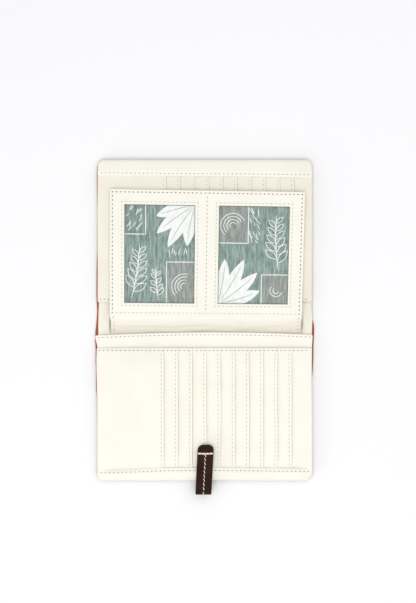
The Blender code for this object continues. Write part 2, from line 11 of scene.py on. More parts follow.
import bmesh
import bpy
import numpy as np
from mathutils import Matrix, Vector


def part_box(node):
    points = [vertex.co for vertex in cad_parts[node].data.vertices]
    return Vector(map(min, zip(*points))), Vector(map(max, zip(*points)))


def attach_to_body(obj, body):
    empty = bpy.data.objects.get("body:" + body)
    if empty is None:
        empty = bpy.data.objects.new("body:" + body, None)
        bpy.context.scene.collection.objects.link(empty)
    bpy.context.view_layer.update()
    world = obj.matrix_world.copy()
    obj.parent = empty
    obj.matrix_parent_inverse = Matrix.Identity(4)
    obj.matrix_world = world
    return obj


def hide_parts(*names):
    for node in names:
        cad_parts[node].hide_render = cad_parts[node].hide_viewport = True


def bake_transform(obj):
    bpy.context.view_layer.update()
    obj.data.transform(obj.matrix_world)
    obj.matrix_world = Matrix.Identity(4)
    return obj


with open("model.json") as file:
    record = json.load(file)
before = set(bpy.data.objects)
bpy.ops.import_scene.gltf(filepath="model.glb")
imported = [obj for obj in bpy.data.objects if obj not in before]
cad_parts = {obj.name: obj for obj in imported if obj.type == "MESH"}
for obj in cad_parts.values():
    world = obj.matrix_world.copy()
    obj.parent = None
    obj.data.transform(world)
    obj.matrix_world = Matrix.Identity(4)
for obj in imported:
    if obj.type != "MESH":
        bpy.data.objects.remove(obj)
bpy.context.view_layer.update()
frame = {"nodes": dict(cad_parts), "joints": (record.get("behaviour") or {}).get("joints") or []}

MM = 0.001
JOINT_AT = {joint["name"]: joint["pos_m"] for joint in frame["joints"]}

# The photograph: its frame in pixels, its scale, and the pixel over the frame's origin
PHOTO_WIDTH, PHOTO_HEIGHT = 416, 603
PIXEL = 0.82 * MM
ORIGIN_PIXEL = (204.8, 320.2)
CAMERA_HEIGHT = 2.5
LEVEL_AT_SCALE = 6 * MM

# Thread
STITCH_PITCH, STITCH_LENGTH = 3.45 * MM, 2.6 * MM
THREAD_RADIUS, THREAD_FLATNESS = 0.24 * MM, 0.75
HOLE_RADIUS, HOLE_LENGTH, HOLE_FLATNESS = 0.46 * MM, 2.1, 0.35
STITCH_RISE, HOLE_SINK, STITCH_WANDER = 0.07 * MM, 0.02 * MM, 0.05 * MM
SEAM_DEPTH, SEAM_REACH = 0.13 * MM, 0.9 * MM

# Places that follow from the frame
LOW_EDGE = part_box("cover_lower")[0].y
HIGH_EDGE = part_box("cover_upper")[1].y
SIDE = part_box("lower_edge_band")[1].x
COVER_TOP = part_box("cover_lower")[1].z
PAGE_LOW, PAGE_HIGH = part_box("page_front")


class Shader:
    """A material under construction. Each call adds a node and gives its output."""

    def __init__(self, name):
        self.material = bpy.data.materials.new(name)
        self.material.use_nodes = True
        self.tree = self.material.node_tree
        self.plan = self.add("UVMap", "UV", {}, uv_map="plan")

    def fill(self, node, inputs):
        """Gives a node's inputs their values, or links them to other nodes' outputs."""
        for key, value in inputs.items():
            if isinstance(value, bpy.types.NodeSocket):
                self.tree.links.new(value, node.inputs[key])
            else:
                node.inputs[key].default_value = value

    def add(self, kind, output, inputs, **settings):
        node = self.tree.nodes.new("ShaderNode" + kind)
        for key, value in settings.items():
            setattr(node, key, value)
        self.fill(node, inputs)
        return node.outputs[output]

    def scaled(self, x=1.0, y=1.0):
        return self.add("Mapping", "Vector", {"Scale": (x, y, 1.0), "Vector": self.plan})

    def axis(self, letter):
        return self.add("SeparateXYZ", letter, {"Vector": self.plan})

    def noise(self, scale, detail=3.0, roughness=0.55, distortion=0.0, stretch=1.0):
        return self.add("TexNoise", "Fac", {
            "Scale": scale, "Detail": detail, "Roughness": roughness, "Distortion": distortion,
            "Vector": self.scaled(y=stretch),
        })

    def ramp(self, value, places, tones):
        node = self.tree.nodes.new("ShaderNodeValToRGB")
        elements = node.color_ramp.elements
        while len(elements) < len(tones):
            elements.new(0.5)
        for element, place, colour in zip(elements, places, tones):
            element.position = place
            element.color = (*colour, 1.0)
        self.fill(node, {"Fac": value})
        return node.outputs["Color"]

    def spread(self, value, to_low, to_high, low=0.3, high=0.7):
        ends = {"From Min": low, "From Max": high, "To Min": to_low, "To Max": to_high}
        return self.add("MapRange", "Result", {**ends, "Value": value})

    def mix(self, share, first, second):
        return self.add("Mix", "Result", {"Factor": share, "A": first, "B": second}, data_type="RGBA")

    def math(self, operation, first, second):
        return self.add("Math", "Value", {0: first, 1: second}, operation=operation)

    def bump(self, height, distance, strength, **under):
        inputs = {"Strength": strength, "Distance": distance, "Height": height, **under}
        return self.add("Bump", "Normal", inputs)

    def surface(self, **inputs):
        """Fills the surface's sockets and gives the finished material."""
        surface = self.tree.nodes["Principled BSDF"]
        self.fill(surface, {key.replace("_", " "): value for key, value in inputs.items()})
        return self.material


TONE_PLACES = (0.30, 0.50, 0.70)
ROUGHNESS_DRIFT = 0.06
PORES_PER_GRAIN = 2.6


def leather(name, tones, roughness, grain, depths=(0.00005, 0.00004), gloss=0.35, fade=None):
    """Leather: tones drift over the hide, grain cells and pores stand in relief. Its fade, where given,
    holds the plan's Y where other tones begin and where they are full, and those tones; the first tones
    are then painted shade."""
    shader = Shader(name)
    drift = shader.noise(28.0, detail=4.0, roughness=0.6, distortion=0.4)
    colour = shader.ramp(drift, TONE_PLACES, tones)
    if fade:
        start, full, others = fade
        share = shader.spread(shader.axis("Y"), 0.0, 1.0, start, full)
        colour = shader.mix(share, colour, shader.ramp(drift, TONE_PLACES, others))
    rough = shader.spread(shader.noise(160.0), roughness - ROUGHNESS_DRIFT, roughness + ROUGHNESS_DRIFT)
    cells = shader.add("TexVoronoi", "Distance", {"Scale": grain, "Vector": shader.scaled()})
    coarse = shader.bump(cells, depths[0], 0.5)
    fine = shader.bump(shader.noise(grain * PORES_PER_GRAIN, detail=4.0), depths[1], 0.5, Normal=coarse)
    return shader.surface(Base_Color=colour, Roughness=rough, Normal=fine, Specular_IOR_Level=gloss)


def woven_fabric(name, tones):
    """Plain weave for the boards and the pocket bags."""
    shader = Shader(name)
    weave = shader.add("TexChecker", "Fac", {"Scale": 2500.0, "Vector": shader.scaled()})
    colour = shader.ramp(shader.noise(60.0), (0.35, 0.65), tones)
    relief = shader.bump(weave, 0.00008, 0.6)
    return shader.surface(Base_Color=colour, Normal=relief, Roughness=0.9, Sheen_Weight=0.2)


def thread(name, tones):
    """Twisted sewing thread: ply marks along it."""
    shader = Shader(name)
    ply = shader.add(
        "TexWave", "Fac", {"Scale": 900.0, "Vector": shader.scaled()}, bands_direction="DIAGONAL"
    )
    colour, relief = shader.ramp(ply, (0.2, 0.8), tones), shader.bump(ply, 0.00006, 0.6)
    return shader.surface(Base_Color=colour, Normal=relief, Roughness=0.7, Sheen_Weight=0.15)


def mottled(name, tones, scale=90.0, roughness=0.9, stretch=1.0):
    """Two tones in soft patches: painted shade in the hollow of a needle hole, or printing ink."""
    shader = Shader(name)
    colour = shader.ramp(shader.noise(scale, stretch=stretch), (0.3, 0.7), tones)
    return shader.surface(Base_Color=colour, Roughness=roughness)


def clear_film():
    """Thin clear window film, glossy and slightly cockled."""
    shader = Shader("clear_film")
    cockle = shader.bump(shader.noise(45.0, detail=2.0, distortion=0.6), 0.0012, 0.35)
    rough = shader.spread(shader.noise(200.0), 0.03, 0.10)
    shader.material.surface_render_method = "BLENDED"
    tint = (0.95, 0.97, 0.97, 1.0)
    return shader.surface(Base_Color=tint, Normal=cockle, Roughness=rough, Alpha=0.06, IOR=1.5)


def plain_steel():
    shader = Shader("magnet_steel")
    rough = shader.spread(shader.noise(900.0), 0.25, 0.40)
    return shader.surface(Base_Color=(0.60, 0.60, 0.62, 1.0), Roughness=rough, Metallic=1.0)


CREAM_TONES = ((0.875, 0.860, 0.765), (0.900, 0.885, 0.795), (0.915, 0.900, 0.815))
LINING_TONES = ((0.865, 0.832, 0.726), (0.885, 0.855, 0.750), (0.90, 0.873, 0.772))
# The upper half's pockets are a darker copy of the lining's cream: painted shade from the window page over
# them.
UPPER_SHADED_TONES = ((0.843, 0.806, 0.702), (0.863, 0.829, 0.726), (0.880, 0.848, 0.748))
# Cut edges: browner than the grain side in their own right, and darker still with painted shade along the
# edge.
RAW_EDGE_AND_SHADE_TONES = ((0.66, 0.53, 0.40), (0.74, 0.62, 0.49), (0.80, 0.70, 0.58))
# The upper half's cut edges are darker again: painted shade where each strip's edge stands over the next.
UPPER_SHADED_RAW_TONES = ((0.50, 0.41, 0.32), (0.58, 0.49, 0.39), (0.66, 0.57, 0.47))
# The hinge strip's tones are painted shade where it lies low between the slip pocket and the page.
STRIP_SHADE_TONES = ((0.742, 0.683, 0.570), (0.764, 0.709, 0.597), (0.787, 0.732, 0.622))
TAN_TONES = ((0.265, 0.058, 0.015), (0.340, 0.080, 0.020), (0.400, 0.110, 0.031))
BROWN_TONES = ((0.012, 0.004, 0.002), (0.021, 0.0065, 0.004), (0.034, 0.012, 0.008))
CREAM = leather("cream_leather", CREAM_TONES, 0.62, 1500.0)
LINING = leather("cream_lining", LINING_TONES, 0.66, 1300.0)
UPPER_SHADED_CREAM = leather("cream_upper", UPPER_SHADED_TONES, 0.66, 1300.0)
RAW_EDGE_AND_SHADE = leather("cream_raw_edge", RAW_EDGE_AND_SHADE_TONES, 0.8, 1600.0)
UPPER_SHADED_RAW_EDGE = leather("cream_upper_raw_edge", UPPER_SHADED_RAW_TONES, 0.8, 1600.0)
TAN = leather("tan_leather", TAN_TONES, 0.55, 1200.0, (0.00008, 0.00005), gloss=0.25)
BROWN = leather("brown_leather", BROWN_TONES, 0.62, 1400.0, (0.00007, 0.00005), gloss=0.12)
FABRIC = woven_fabric("pocket_fabric", ((0.80, 0.77, 0.66), (0.88, 0.85, 0.75)))
BOARD = woven_fabric("backing_board", ((0.74, 0.70, 0.58), (0.84, 0.80, 0.69)))
THREAD = thread("cream_thread", ((0.84, 0.81, 0.70), (0.93, 0.91, 0.82)))
STRAP_THREAD = thread("strap_thread", ((0.82, 0.72, 0.55), (0.96, 0.89, 0.74)))
# Needle holes: painted shade in their hollows, darkest on the page's outer rows and palest on the light
# rows.
NEEDLE_SHADE = mottled("needle_hole", ((0.13, 0.125, 0.11), (0.32, 0.31, 0.27)))
DARK_NEEDLE_SHADE = mottled("dark_needle_hole", ((0.05, 0.048, 0.042), (0.14, 0.135, 0.118)))
PALE_NEEDLE_SHADE = mottled("pale_needle_hole", ((0.42, 0.40, 0.35), (0.66, 0.63, 0.56)))
WHITE_INK = mottled("white_ink", ((0.80, 0.83, 0.81), (0.95, 0.96, 0.95)), 500.0, 0.6, 0.3)
TEAL_INK = mottled("teal_ink", ((0.26, 0.37, 0.33), (0.40, 0.51, 0.47)), 500.0, 0.6, 0.3)
FILM = clear_film()
STEEL = plain_steel()


# Curves and heights that the sheets share
WAVE_COUNT, SHORTEST_WAVE, LONGEST_WAVE = 6, 0.6, 1.7


def waves(seed, height, length):
    """A gentle undulation over a sheet: a few slow waves in seeded directions."""
    draw = random.Random(seed)
    parts = []
    for _ in range(WAVE_COUNT):
        angle = draw.uniform(0, math.tau)
        pace = math.tau / (length * draw.uniform(SHORTEST_WAVE, LONGEST_WAVE))
        parts.append((math.cos(angle) * pace, math.sin(angle) * pace, draw.uniform(0, math.tau)))

    def at(x, y):
        return height * sum(np.sin(x * a + y * b + c) for a, b, c in parts) / len(parts)

    return at


def smooth(t):
    t = np.clip(t, 0.0, 1.0)
    return t * t * (3 - 2 * t)


def fading(away, reach):
    """1 at a line, falling to 0 at its reach."""
    return smooth(1 - away / reach)


def bell(away, reach):
    return np.exp(-((away / reach) ** 2))


def dent(away):
    """How deep a seam is pressed in, at a distance from its line."""
    return SEAM_DEPTH * bell(away, SEAM_REACH)


def level(height):
    """The height of a flat sheet."""
    return lambda x, y: height + 0 * x


# Grid lines: shares of an edge's roll, of a seam's reach and of a hole's rolled edge
EDGE_LINES = (0.0, 0.08, 0.25, 0.55, 1.0, 1.7)
SEAM_LINES = (-1.6, -0.8, 0.0, 0.8, 1.6)
HOLE_LINES = (0.0, 0.12, 0.4, 1.0)
CORNER_LINES = 5
LEAST_GAP, HAIR, RAW_WIDTH = 0.06 * MM, 0.05 * MM, 0.3 * MM


def stations(low, high, step, roll, marks, rounding):
    """Grid lines from low to high, close together at both ends and beside each seam or edge in marks."""
    near = [roll * share for share in EDGE_LINES]
    if rounding > roll:
        near += list(np.linspace(0, rounding, CORNER_LINES + 1)[1:])
    lines = [low + d for d in near] + [high - d for d in near]
    lines += [mark + share * SEAM_REACH for mark in marks for share in SEAM_LINES]
    lines += list(np.linspace(low, high, max(1, round((high - low) / step)) + 1))
    lines = sorted(set(round(line, 7) for line in lines if low <= line <= high))
    kept = [lines[0]]
    for line in lines[1:]:
        if line - kept[-1] > LEAST_GAP:
            kept.append(line)
    if high - kept[-1] > 1e-6:
        kept[-1] = high
    return np.array(kept)


def with_hole(lines, low, high, roll):
    """Grid lines with exact ones at a hole's edges, and none of the old ones within a hair of them."""
    extra = [low - roll * share for share in HOLE_LINES] + [high + roll * share for share in HOLE_LINES]
    kept = [line for line in lines if min(abs(line - other) for other in extra) > HAIR]
    return np.array(sorted(kept + extra))


class Sheet:
    """A leather sheet over a flat rectangle. lift gives its middle height, warp moves it in plan, and
    place, where given, bends the whole sheet onto a path instead. rolled and raw name edges by letter
    (left, right, bottom, top), and corners says at which ends, -1 or 1, its corners are round."""

    step, rounding, corners, rolled, raw = 2.5 * MM, 0.0, (-1, 1), "lrbt", ""
    warp = place = None
    seams_x = seams_y = holes = fine_x = ()
    raw_look = RAW_EDGE_AND_SHADE

    def __init__(self, name, left, right, low, high, thickness, lift, **options):
        self.name, self.thickness, self.lift = name, thickness, lift
        self.left, self.right, self.low, self.high = left, right, low, high
        for key, value in options.items():
            setattr(self, key, value)

    def round_corners(self, x, y):
        """The corner squares become quarter discs."""
        radius, x_out, y_out = self.rounding, x, y
        if not radius:
            return x, y
        ends = [(side, edge) for side, edge in ((-1, self.low), (1, self.high)) if side in self.corners]
        for side_x, edge_x in ((-1, self.left), (1, self.right)):
            for side_y, edge_y in ends:
                a = side_x * (x - edge_x) / radius + 1
                b = side_y * (y - edge_y) / radius + 1
                inside = (a > 0) & (b > 0)
                a_new = a * np.sqrt(np.clip(1 - b * b / 2, 0, 1))
                b_new = b * np.sqrt(np.clip(1 - a * a / 2, 0, 1))
                x_out = np.where(inside, edge_x + side_x * (a_new - 1) * radius, x_out)
                y_out = np.where(inside, edge_y + side_y * (b_new - 1) * radius, y_out)
        return x_out, y_out

    def margins(self, x, y):
        """How far a place lies in from each edge."""
        return {"l": x - self.left, "r": self.right - x, "b": y - self.low, "t": self.high - y}

    def edge_distance(self, x, y):
        """How far a place lies from the nearest rolled edge."""
        margins = self.margins(x, y)
        away = np.full(np.shape(x), 1.0)
        for letter in self.rolled:
            away = np.minimum(away, margins[letter])
        for x0, x1, y0, y1 in self.holes:
            aside = np.maximum(np.maximum(x0 - x, x - x1), np.maximum(y0 - y, y - y1))
            away = np.minimum(away, np.maximum(aside, 0))
        return away

    def at(self, x, y, side):
        """Points on the sheet. side is 1 for the top face and -1 for the bottom."""
        x, y = np.asarray(x, float), np.asarray(y, float)
        roll = self.thickness / 2
        away = np.clip(self.edge_distance(x, y) / roll, 0, 1)
        half = roll * np.sqrt(np.clip(1 - (1 - away) ** 2, 0, 1))
        if side > 0:
            pressed = sum(dent(x - seam) for seam in self.seams_x)
            pressed += sum(dent(y - seam) for seam in self.seams_y)
            half = np.maximum(half - pressed, 0)
        plan_x, plan_y = self.round_corners(x, y)
        if self.warp:
            plan_x, plan_y = self.warp(plan_x, plan_y)
        height = self.lift(x, y) + side * half
        if self.place:
            return self.place(plan_x, plan_y, height)
        return np.stack([plan_x, plan_y, height], axis=-1)

    def build(self, look, slot):
        """A grid over the plan, top and bottom, with a wall where the leather ends."""
        roll = self.thickness / 2
        marks_x = [*self.seams_x, *self.fine_x, *(edge for hole in self.holes for edge in hole[:2])]
        marks_y = [*self.seams_y, *(edge for hole in self.holes for edge in hole[2:])]
        xs = stations(self.left, self.right, self.step, roll, marks_x, self.rounding)
        ys = stations(self.low, self.high, self.step, roll, marks_y, self.rounding)
        for x0, x1, y0, y1 in self.holes:
            xs, ys = with_hole(xs, x0, x1, roll), with_hole(ys, y0, y1, roll)
        grid_x, grid_y = np.meshgrid(xs, ys, indexing="ij")
        points = np.concatenate([self.at(grid_x, grid_y, side).reshape(-1, 3) for side in (1, -1)])
        plan = np.stack([grid_x.reshape(-1), grid_y.reshape(-1)], axis=-1)
        faces, raw_faces = self.faces(xs, ys)
        lists = (points, faces, np.concatenate([plan, plan]))
        return mesh_piece(self.name, lists, look, raw_faces=raw_faces, raw_look=self.raw_look)

    def faces(self, xs, ys):
        """The grid's faces, and the numbers of those at a raw edge."""
        cell_x, cell_y = np.meshgrid((xs[:-1] + xs[1:]) / 2, (ys[:-1] + ys[1:]) / 2, indexing="ij")
        solid, raw = np.ones(cell_x.shape, bool), np.zeros(cell_x.shape, bool)
        for x0, x1, y0, y1 in self.holes:
            solid &= ~((cell_x > x0) & (cell_x < x1) & (cell_y > y0) & (cell_y < y1))
        for letter in self.raw:
            raw |= self.margins(cell_x, cell_y)[letter] < RAW_WIDTH
        framed = np.pad(solid, 1)
        along, count = len(ys), len(xs) * len(ys)
        faces, raw_faces = [], []
        for i, j in np.argwhere(solid).tolist():
            first = len(faces)
            a, b = i * along + j, (i + 1) * along + j
            c, d = b + 1, a + 1
            faces += [(a, b, c, d), (count + d, count + c, count + b, count + a)]
            for beside, p, q in (
                ((i, j + 1), a, d), ((i + 2, j + 1), c, b), ((i + 1, j), b, a), ((i + 1, j + 2), d, c)
            ):
                if not framed[beside]:
                    faces.append((p, q, count + q, count + p))
            if raw[i, j]:
                raw_faces += range(first, len(faces))
        return faces, raw_faces


def filling(name, node, lift=None, **changes):
    """A sheet that fills a frame node's box, apart from what changes says."""
    low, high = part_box(node)
    measures = dict(
        left=low.x, right=high.x, low=low.y, high=high.y, thickness=high.z - low.z,
        lift=lift or level((low.z + high.z) / 2),
    )
    return Sheet(name, **{**measures, **changes})


WELD_DISTANCE, LEAST_EDGE = 1e-7, 1e-8


def new_object(name, data):
    made = bpy.data.objects.new(name, data)
    bpy.context.scene.collection.objects.link(made)
    return made


def mesh_piece(name, lists, look, sharp=55.0, raw_faces=(), raw_look=None):
    """A closed mesh piece from points, faces and a plan map in metres for its texture."""
    points, faces, plan = lists
    mesh = bpy.data.meshes.new(name)
    build = bmesh.new()
    verts = [build.verts.new(point) for point in points]
    layer = build.loops.layers.uv.new("plan")
    raw = set(raw_faces)
    for number, face in enumerate(faces):
        made = build.faces.new([verts[i] for i in face])
        made.material_index = int(number in raw)
        for loop, index in zip(made.loops, face):
            loop[layer].uv = plan[index]
    loose = [vert for vert in build.verts if not vert.link_faces]
    bmesh.ops.delete(build, geom=loose, context="VERTS")
    bmesh.ops.remove_doubles(build, verts=build.verts, dist=WELD_DISTANCE)
    bmesh.ops.dissolve_degenerate(build, edges=build.edges, dist=LEAST_EDGE)
    bmesh.ops.recalc_face_normals(build, faces=build.faces)
    build.to_mesh(mesh)
    build.free()
    for material in (look, raw_look) if raw else (look,):
        mesh.materials.append(material)
    mesh.shade_smooth()
    mesh.set_sharp_from_angle(angle=math.radians(sharp))
    piece = new_object(name, mesh)
    return piece


def loft(lists, rings, capped=True):
    """Joins rings of pairs, a point and its place in the plan, and adds them to the lists."""
    points, faces, plan = lists
    start, size = len(points), len(rings[0])
    for ring in rings:
        points.extend(point for point, _ in ring)
        plan.extend(place for _, place in ring)
    last = start + (len(rings) - 1) * size
    for base in range(start, last, size):
        for j in range(size):
            a, b = base + j, base + (j + 1) % size
            faces.append((a, b, b + size, a + size))
    if capped:
        faces.append(tuple(range(start, start + size)))
        faces.append(tuple(reversed(range(last, last + size))))


SEAT_REACH, CAPSULE_BLUNTNESS = 0.4 * MM, 0.6


def capsule(lists, centre, along, up, length, radius, flat, rings=5, sides=6):
    """A rounded bar."""
    along, up = Vector(along).normalized(), Vector(up).normalized()
    aside = along.cross(up).normalized()
    up = aside.cross(along).normalized()
    tube = []
    for ring in range(rings + 1):
        turn = math.pi * ring / rings
        middle = centre + along * (-math.cos(turn) * length / 2)
        girth = radius * math.sin(turn) ** CAPSULE_BLUNTNESS if 0 < ring < rings else 0.0
        tube.append([])
        for side in range(sides):
            angle = math.tau * side / sides
            offset = aside * (math.cos(angle) * girth) + up * (math.sin(angle) * girth * flat)
            place = (side * radius, centre.x + centre.y + ring * length / rings)
            tube[-1].append((tuple(middle + offset), place))
    loft(lists, tube, capped=False)


def seat(sheet, spot, direction, above):
    """Where a stitch or hole sits on a sheet, its direction along the row, and up from there."""
    ahead = direction * SEAT_REACH
    xs, ys = np.transpose([spot - ahead, spot, spot + ahead])
    behind, top, front = sheet.at(xs, ys, 1)
    up = Vector(top - sheet.at(xs, ys, -1)[1])
    return Vector(top) + up.normalized() * above, Vector(front - behind), up


class Seam:
    """Collects the stitches and holes of one or more rows that move together."""

    def __init__(self, name, seed, hole_radius=HOLE_RADIUS):
        self.name, self.hole_radius = name, hole_radius
        self.draw = random.Random(seed)
        self.threads, self.holes = ([], [], []), ([], [], [])

    def stitch(self, place, length=STITCH_LENGTH, radius=THREAD_RADIUS, flat=THREAD_FLATNESS):
        capsule(self.threads, *place, length, radius, flat)

    def sew(self, sheet, *corners, pitch=STITCH_PITCH, slant=0.0, first_hole=True, **stitch):
        """Rows of stitches from corner to corner of a line in a sheet's flat plan."""
        corners = np.array(corners, float)
        for start, end in zip(corners, corners[1:]):
            count = max(1, round(float(np.linalg.norm(end - start)) / pitch))
            step = (end - start) / count
            direction = step / np.linalg.norm(step)
            aside = np.array([-direction[1], direction[0]])
            for index in range(count + 1):
                spot = start + step * index + aside * self.draw.uniform(-STITCH_WANDER, STITCH_WANDER)
                if index or first_hole:
                    place = seat(sheet, spot, direction, -HOLE_SINK)
                    length = self.hole_radius * HOLE_LENGTH
                    capsule(self.holes, *place, length, self.hole_radius, HOLE_FLATNESS, rings=4)
                if index < count:
                    place = seat(sheet, spot + step / 2, direction + aside * slant, STITCH_RISE)
                    self.stitch(place, **stitch)

    def build(self, attach, slot="cream_leather", thread_look=THREAD, hole_look=NEEDLE_SHADE):
        for part, lists, look in (
            ("threads", self.threads, thread_look), ("needle_holes", self.holes, hole_look)
        ):
            if lists[0]:
                attach(mesh_piece(f"{self.name}_{part}", lists, look, sharp=180.0))


# How pieces are held: riding a body, or baked where they lie
def riding(body):
    return lambda piece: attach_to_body(piece, body)


def bending():
    return lambda piece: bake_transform(piece)


def creased():
    """Bakes a piece's placement into its mesh, as bending does."""
    return bending()


def dress(sheet, look, attach, *nodes, slot="cream_leather"):
    """Builds a sheet, hands it to attach and hides the frame nodes that it stands for."""
    piece = sheet.build(look, slot)
    attach(piece)
    if nodes:
        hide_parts(*nodes)


LOWER_BEND = creased()
UPPER_BEND = creased()

# Outlines of the sides, as the photograph shows them: how far each layer's side lies out, or in where
# negative, at places along Y (both in mm)
COVER_LEFT = {
    -110: 0.0, -65: 0.5, -57: 1.2, -49: 1.3, -41: 1.2, -33: 1.7, -24: 1.6, -18: 2.1, -8: 1.8, -4: 1.2,
    8: 0.4, 16: 0.9, 25: 1.05, 45: 0.85, 58: 0.25, 90: 0.05, 98: 0.3, 116: 0.6, 126: 0.4, 131: 0.0,
}
COVER_RIGHT = {
    -110: -0.3, -57: -0.3, -49: 0.0, -41: 0.8, -33: 1.1, -24: 1.25, -18: 1.4, -8: 1.9, -4: 1.7, 1: 0.5,
    8: 0.2, 25: 0.2, 50: 0.1, 100: 0.0,
}
LINING_LEFT = {-30: 0.3, -16: 0.0, -10: -0.5, -4: -0.4, 8: -0.7, 16: -1.1, 24: -0.2, 30: 0.0}
LINING_RIGHT = {-30: -0.4, -12: 0.0, -6: 0.2, 0: 0.5, 8: 0.0, 30: 0.0}
POCKETS_LEFT = {-100: 0.0, -65: 0.2, -49: 0.6, -33: 1.0, -22: 0.6, 0: 0.0}
POCKETS_RIGHT = {-100: 0.0, -65: -0.2, -49: -0.7, -33: -0.5, -22: 0.1, 0: 0.0}
SIDE_GRIP = 4


def outlined_sides(left_line, right_line):
    """Moves the sides along measured outlines, and the middle not at all."""

    def reach(line, y):
        return np.interp(y, [place * MM for place in line], [out * MM for out in line.values()])

    def warp(x, y):
        share = np.clip(x / SIDE, -1, 1)
        out = np.where(share > 0, reach(right_line, y), -reach(left_line, y))
        return x + out * np.abs(share) ** SIDE_GRIP, y

    return warp


def make_skin(name, side, ends, thickness, lift, outlines, look, slot, **options):
    """One layer of the folder, in two sheets that meet in the middle of the spine."""
    for half, low, high, corners, rolled, bend, nodes in (
        ("lower", ends[0], 0, (-1,), "lrb", LOWER_BEND, (f"{name}_lower", f"{name}_spine")),
        ("upper", 0, ends[1], (1,), "lrt", UPPER_BEND, (f"{name}_upper",)),
    ):
        sheet = Sheet(
            f"{name}_skin_{half}", -side, side, low, high, thickness, lift,
            warp=outlined_sides(*outlines), corners=corners, rolled=rolled, **options,
        )
        dress(sheet, look, bend, *nodes, slot=slot)


COVER_INSET, COVER_OVERHANG, COVER_ROUNDING = 1.0 * MM, 0.1 * MM, 6 * MM
PUCKER_HEIGHT, PUCKER_AWAY = 2.6 * MM, 2.0 * MM
PUCKER_REACH, PUCKER_LENGTH = 0.95 * MM, 6.5 * MM


def make_cover():
    """The tan outer skin."""
    make_skin(
        "cover", SIDE + COVER_OVERHANG, (LOW_EDGE + COVER_INSET, HIGH_EDGE - COVER_INSET), COVER_TOP,
        level(COVER_TOP / 2), (COVER_LEFT, COVER_RIGHT), TAN, "tan_leather", rounding=COVER_ROUNDING,
    )


def make_lining():
    """The cream inner skin, drawn in at the sides near the fold, with puckers beside the strip."""
    low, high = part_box("lining_lower")
    strip_low, strip_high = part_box("page_hinge_strip")
    middle, pucker_y = (low.z + high.z) / 2, (strip_low.y + strip_high.y) / 2
    ripple = waves(3, 0.12 * MM, 30 * MM)
    puckers = [strip_low.x - PUCKER_AWAY, strip_high.x + PUCKER_AWAY]

    def lift(x, y):
        beside = sum(bell(x - pucker, PUCKER_REACH) for pucker in puckers)
        return middle + ripple(x, y) + PUCKER_HEIGHT * beside * bell(y - pucker_y, PUCKER_LENGTH)

    make_skin(
        "lining", SIDE, (low.y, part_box("lining_upper")[1].y), high.z - low.z, lift,
        (LINING_LEFT, LINING_RIGHT), LINING, "cream_leather", fine_x=puckers,
    )


# The slip pocket's mouth is bowed: its height along X, from the photograph
SLIP_MOUTH_LEFT, SLIP_MOUTH_MIDDLE, SLIP_MOUTH_RIGHT = -12.5 * MM, -9.9 * MM, -11.9 * MM
SLIP_SEAM_IN, SLIP_SEAM_END, SLIP_ROUNDING = 2.0 * MM, 2.2 * MM, 1.2 * MM
SLIP_FADE, SLIP_FLARE_REACH = 26 * MM, 12 * MM
SLIP_LEFT_FLARE, SLIP_RIGHT_FLARE = 1.9 * MM, 0.5 * MM
SLIP_RISE, SLIP_BOW_RISE, SLIP_RISE_SHARE, SLIP_RIPPLE_SHARE = 0.6, 0.7, 0.4, 0.7


def make_slip_pocket():
    low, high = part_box("slip_pocket")
    middle, top = (low.z + high.z) / 2, high.y
    ripple = waves(11, 0.10 * MM, 42 * MM)

    def mouth(x):
        share = np.clip((x + SIDE) / (2 * SIDE), 0, 1)
        ends = SLIP_MOUTH_LEFT + (SLIP_MOUTH_RIGHT - SLIP_MOUTH_LEFT) * share
        bow = SLIP_MOUTH_MIDDLE - (SLIP_MOUTH_LEFT + SLIP_MOUTH_RIGHT) / 2
        return ends + bow * (1 - (2 * share - 1) ** 2)

    def warp(x, y):
        flare = np.where(x < 0, SLIP_LEFT_FLARE, SLIP_RIGHT_FLARE)
        flare = flare * np.clip(np.abs(x) / SIDE, 0, 1) ** SIDE_GRIP
        flare = flare * fading(top - y, SLIP_FLARE_REACH)
        return x + np.sign(x) * flare, y + (mouth(x) - top) * fading(top - y, SLIP_FADE)

    def lift(x, y):
        near = fading(top - y, SLIP_RISE_SHARE * SLIP_FADE)
        bow = (mouth(x) - SLIP_MOUTH_LEFT) / (SLIP_MOUTH_MIDDLE - SLIP_MOUTH_LEFT)
        return middle + ripple(x, y) * SLIP_RIPPLE_SHARE + (SLIP_RISE + SLIP_BOW_RISE * bow) * MM * near

    seam = top - SLIP_SEAM_IN
    sheet = filling(
        "slip_pocket_panel", "slip_pocket", lift, left=-SIDE, right=SIDE, warp=warp,
        rounding=SLIP_ROUNDING, seams_y=[seam],
    )
    dress(sheet, CREAM, LOWER_BEND, "slip_pocket")
    row = Seam("slip_pocket_seam", 21)
    row.sew(sheet, (-SIDE + SLIP_SEAM_END, seam), (SIDE - SLIP_SEAM_END, seam))
    row.build(LOWER_BEND)


# Card pockets
POCKET_SEAM_IN = MOUTH_SEAM_IN = 2.4 * MM
POCKET_SEAM_END = 3 * MM
STITCH_ORIGIN = -SIDE + 2.0 * MM
STITCH_CLEAR, BASE_CLEAR = 0.3 * MM, 1.8 * MM
WIDE_STEP, NARROW_STEP, BOARD_STEP = 3.2 * MM, 2.6 * MM, 4 * MM
POCKET_ROUNDING = 0.7 * MM
END_PRESS, SIDE_PRESS, PRESS_REACH = 0.62, 0.6, 15 * MM
LIP_REACH, LIP_DROP = 2.6 * MM, 0.6 * MM
WIDE_LIP_DROP, WIDE_LIP_FADE = 1.05 * MM, 14 * MM
EDGE_WANDER, MOUTH_WANDER = 0.25 * MM, 0.4
BACKING_INSET = 2.2 * MM
CLOTH_THICKNESS, CLOTH_GAP, CLOTH_RIPPLE_SHARE = 0.35 * MM, 0.1 * MM, 0.3


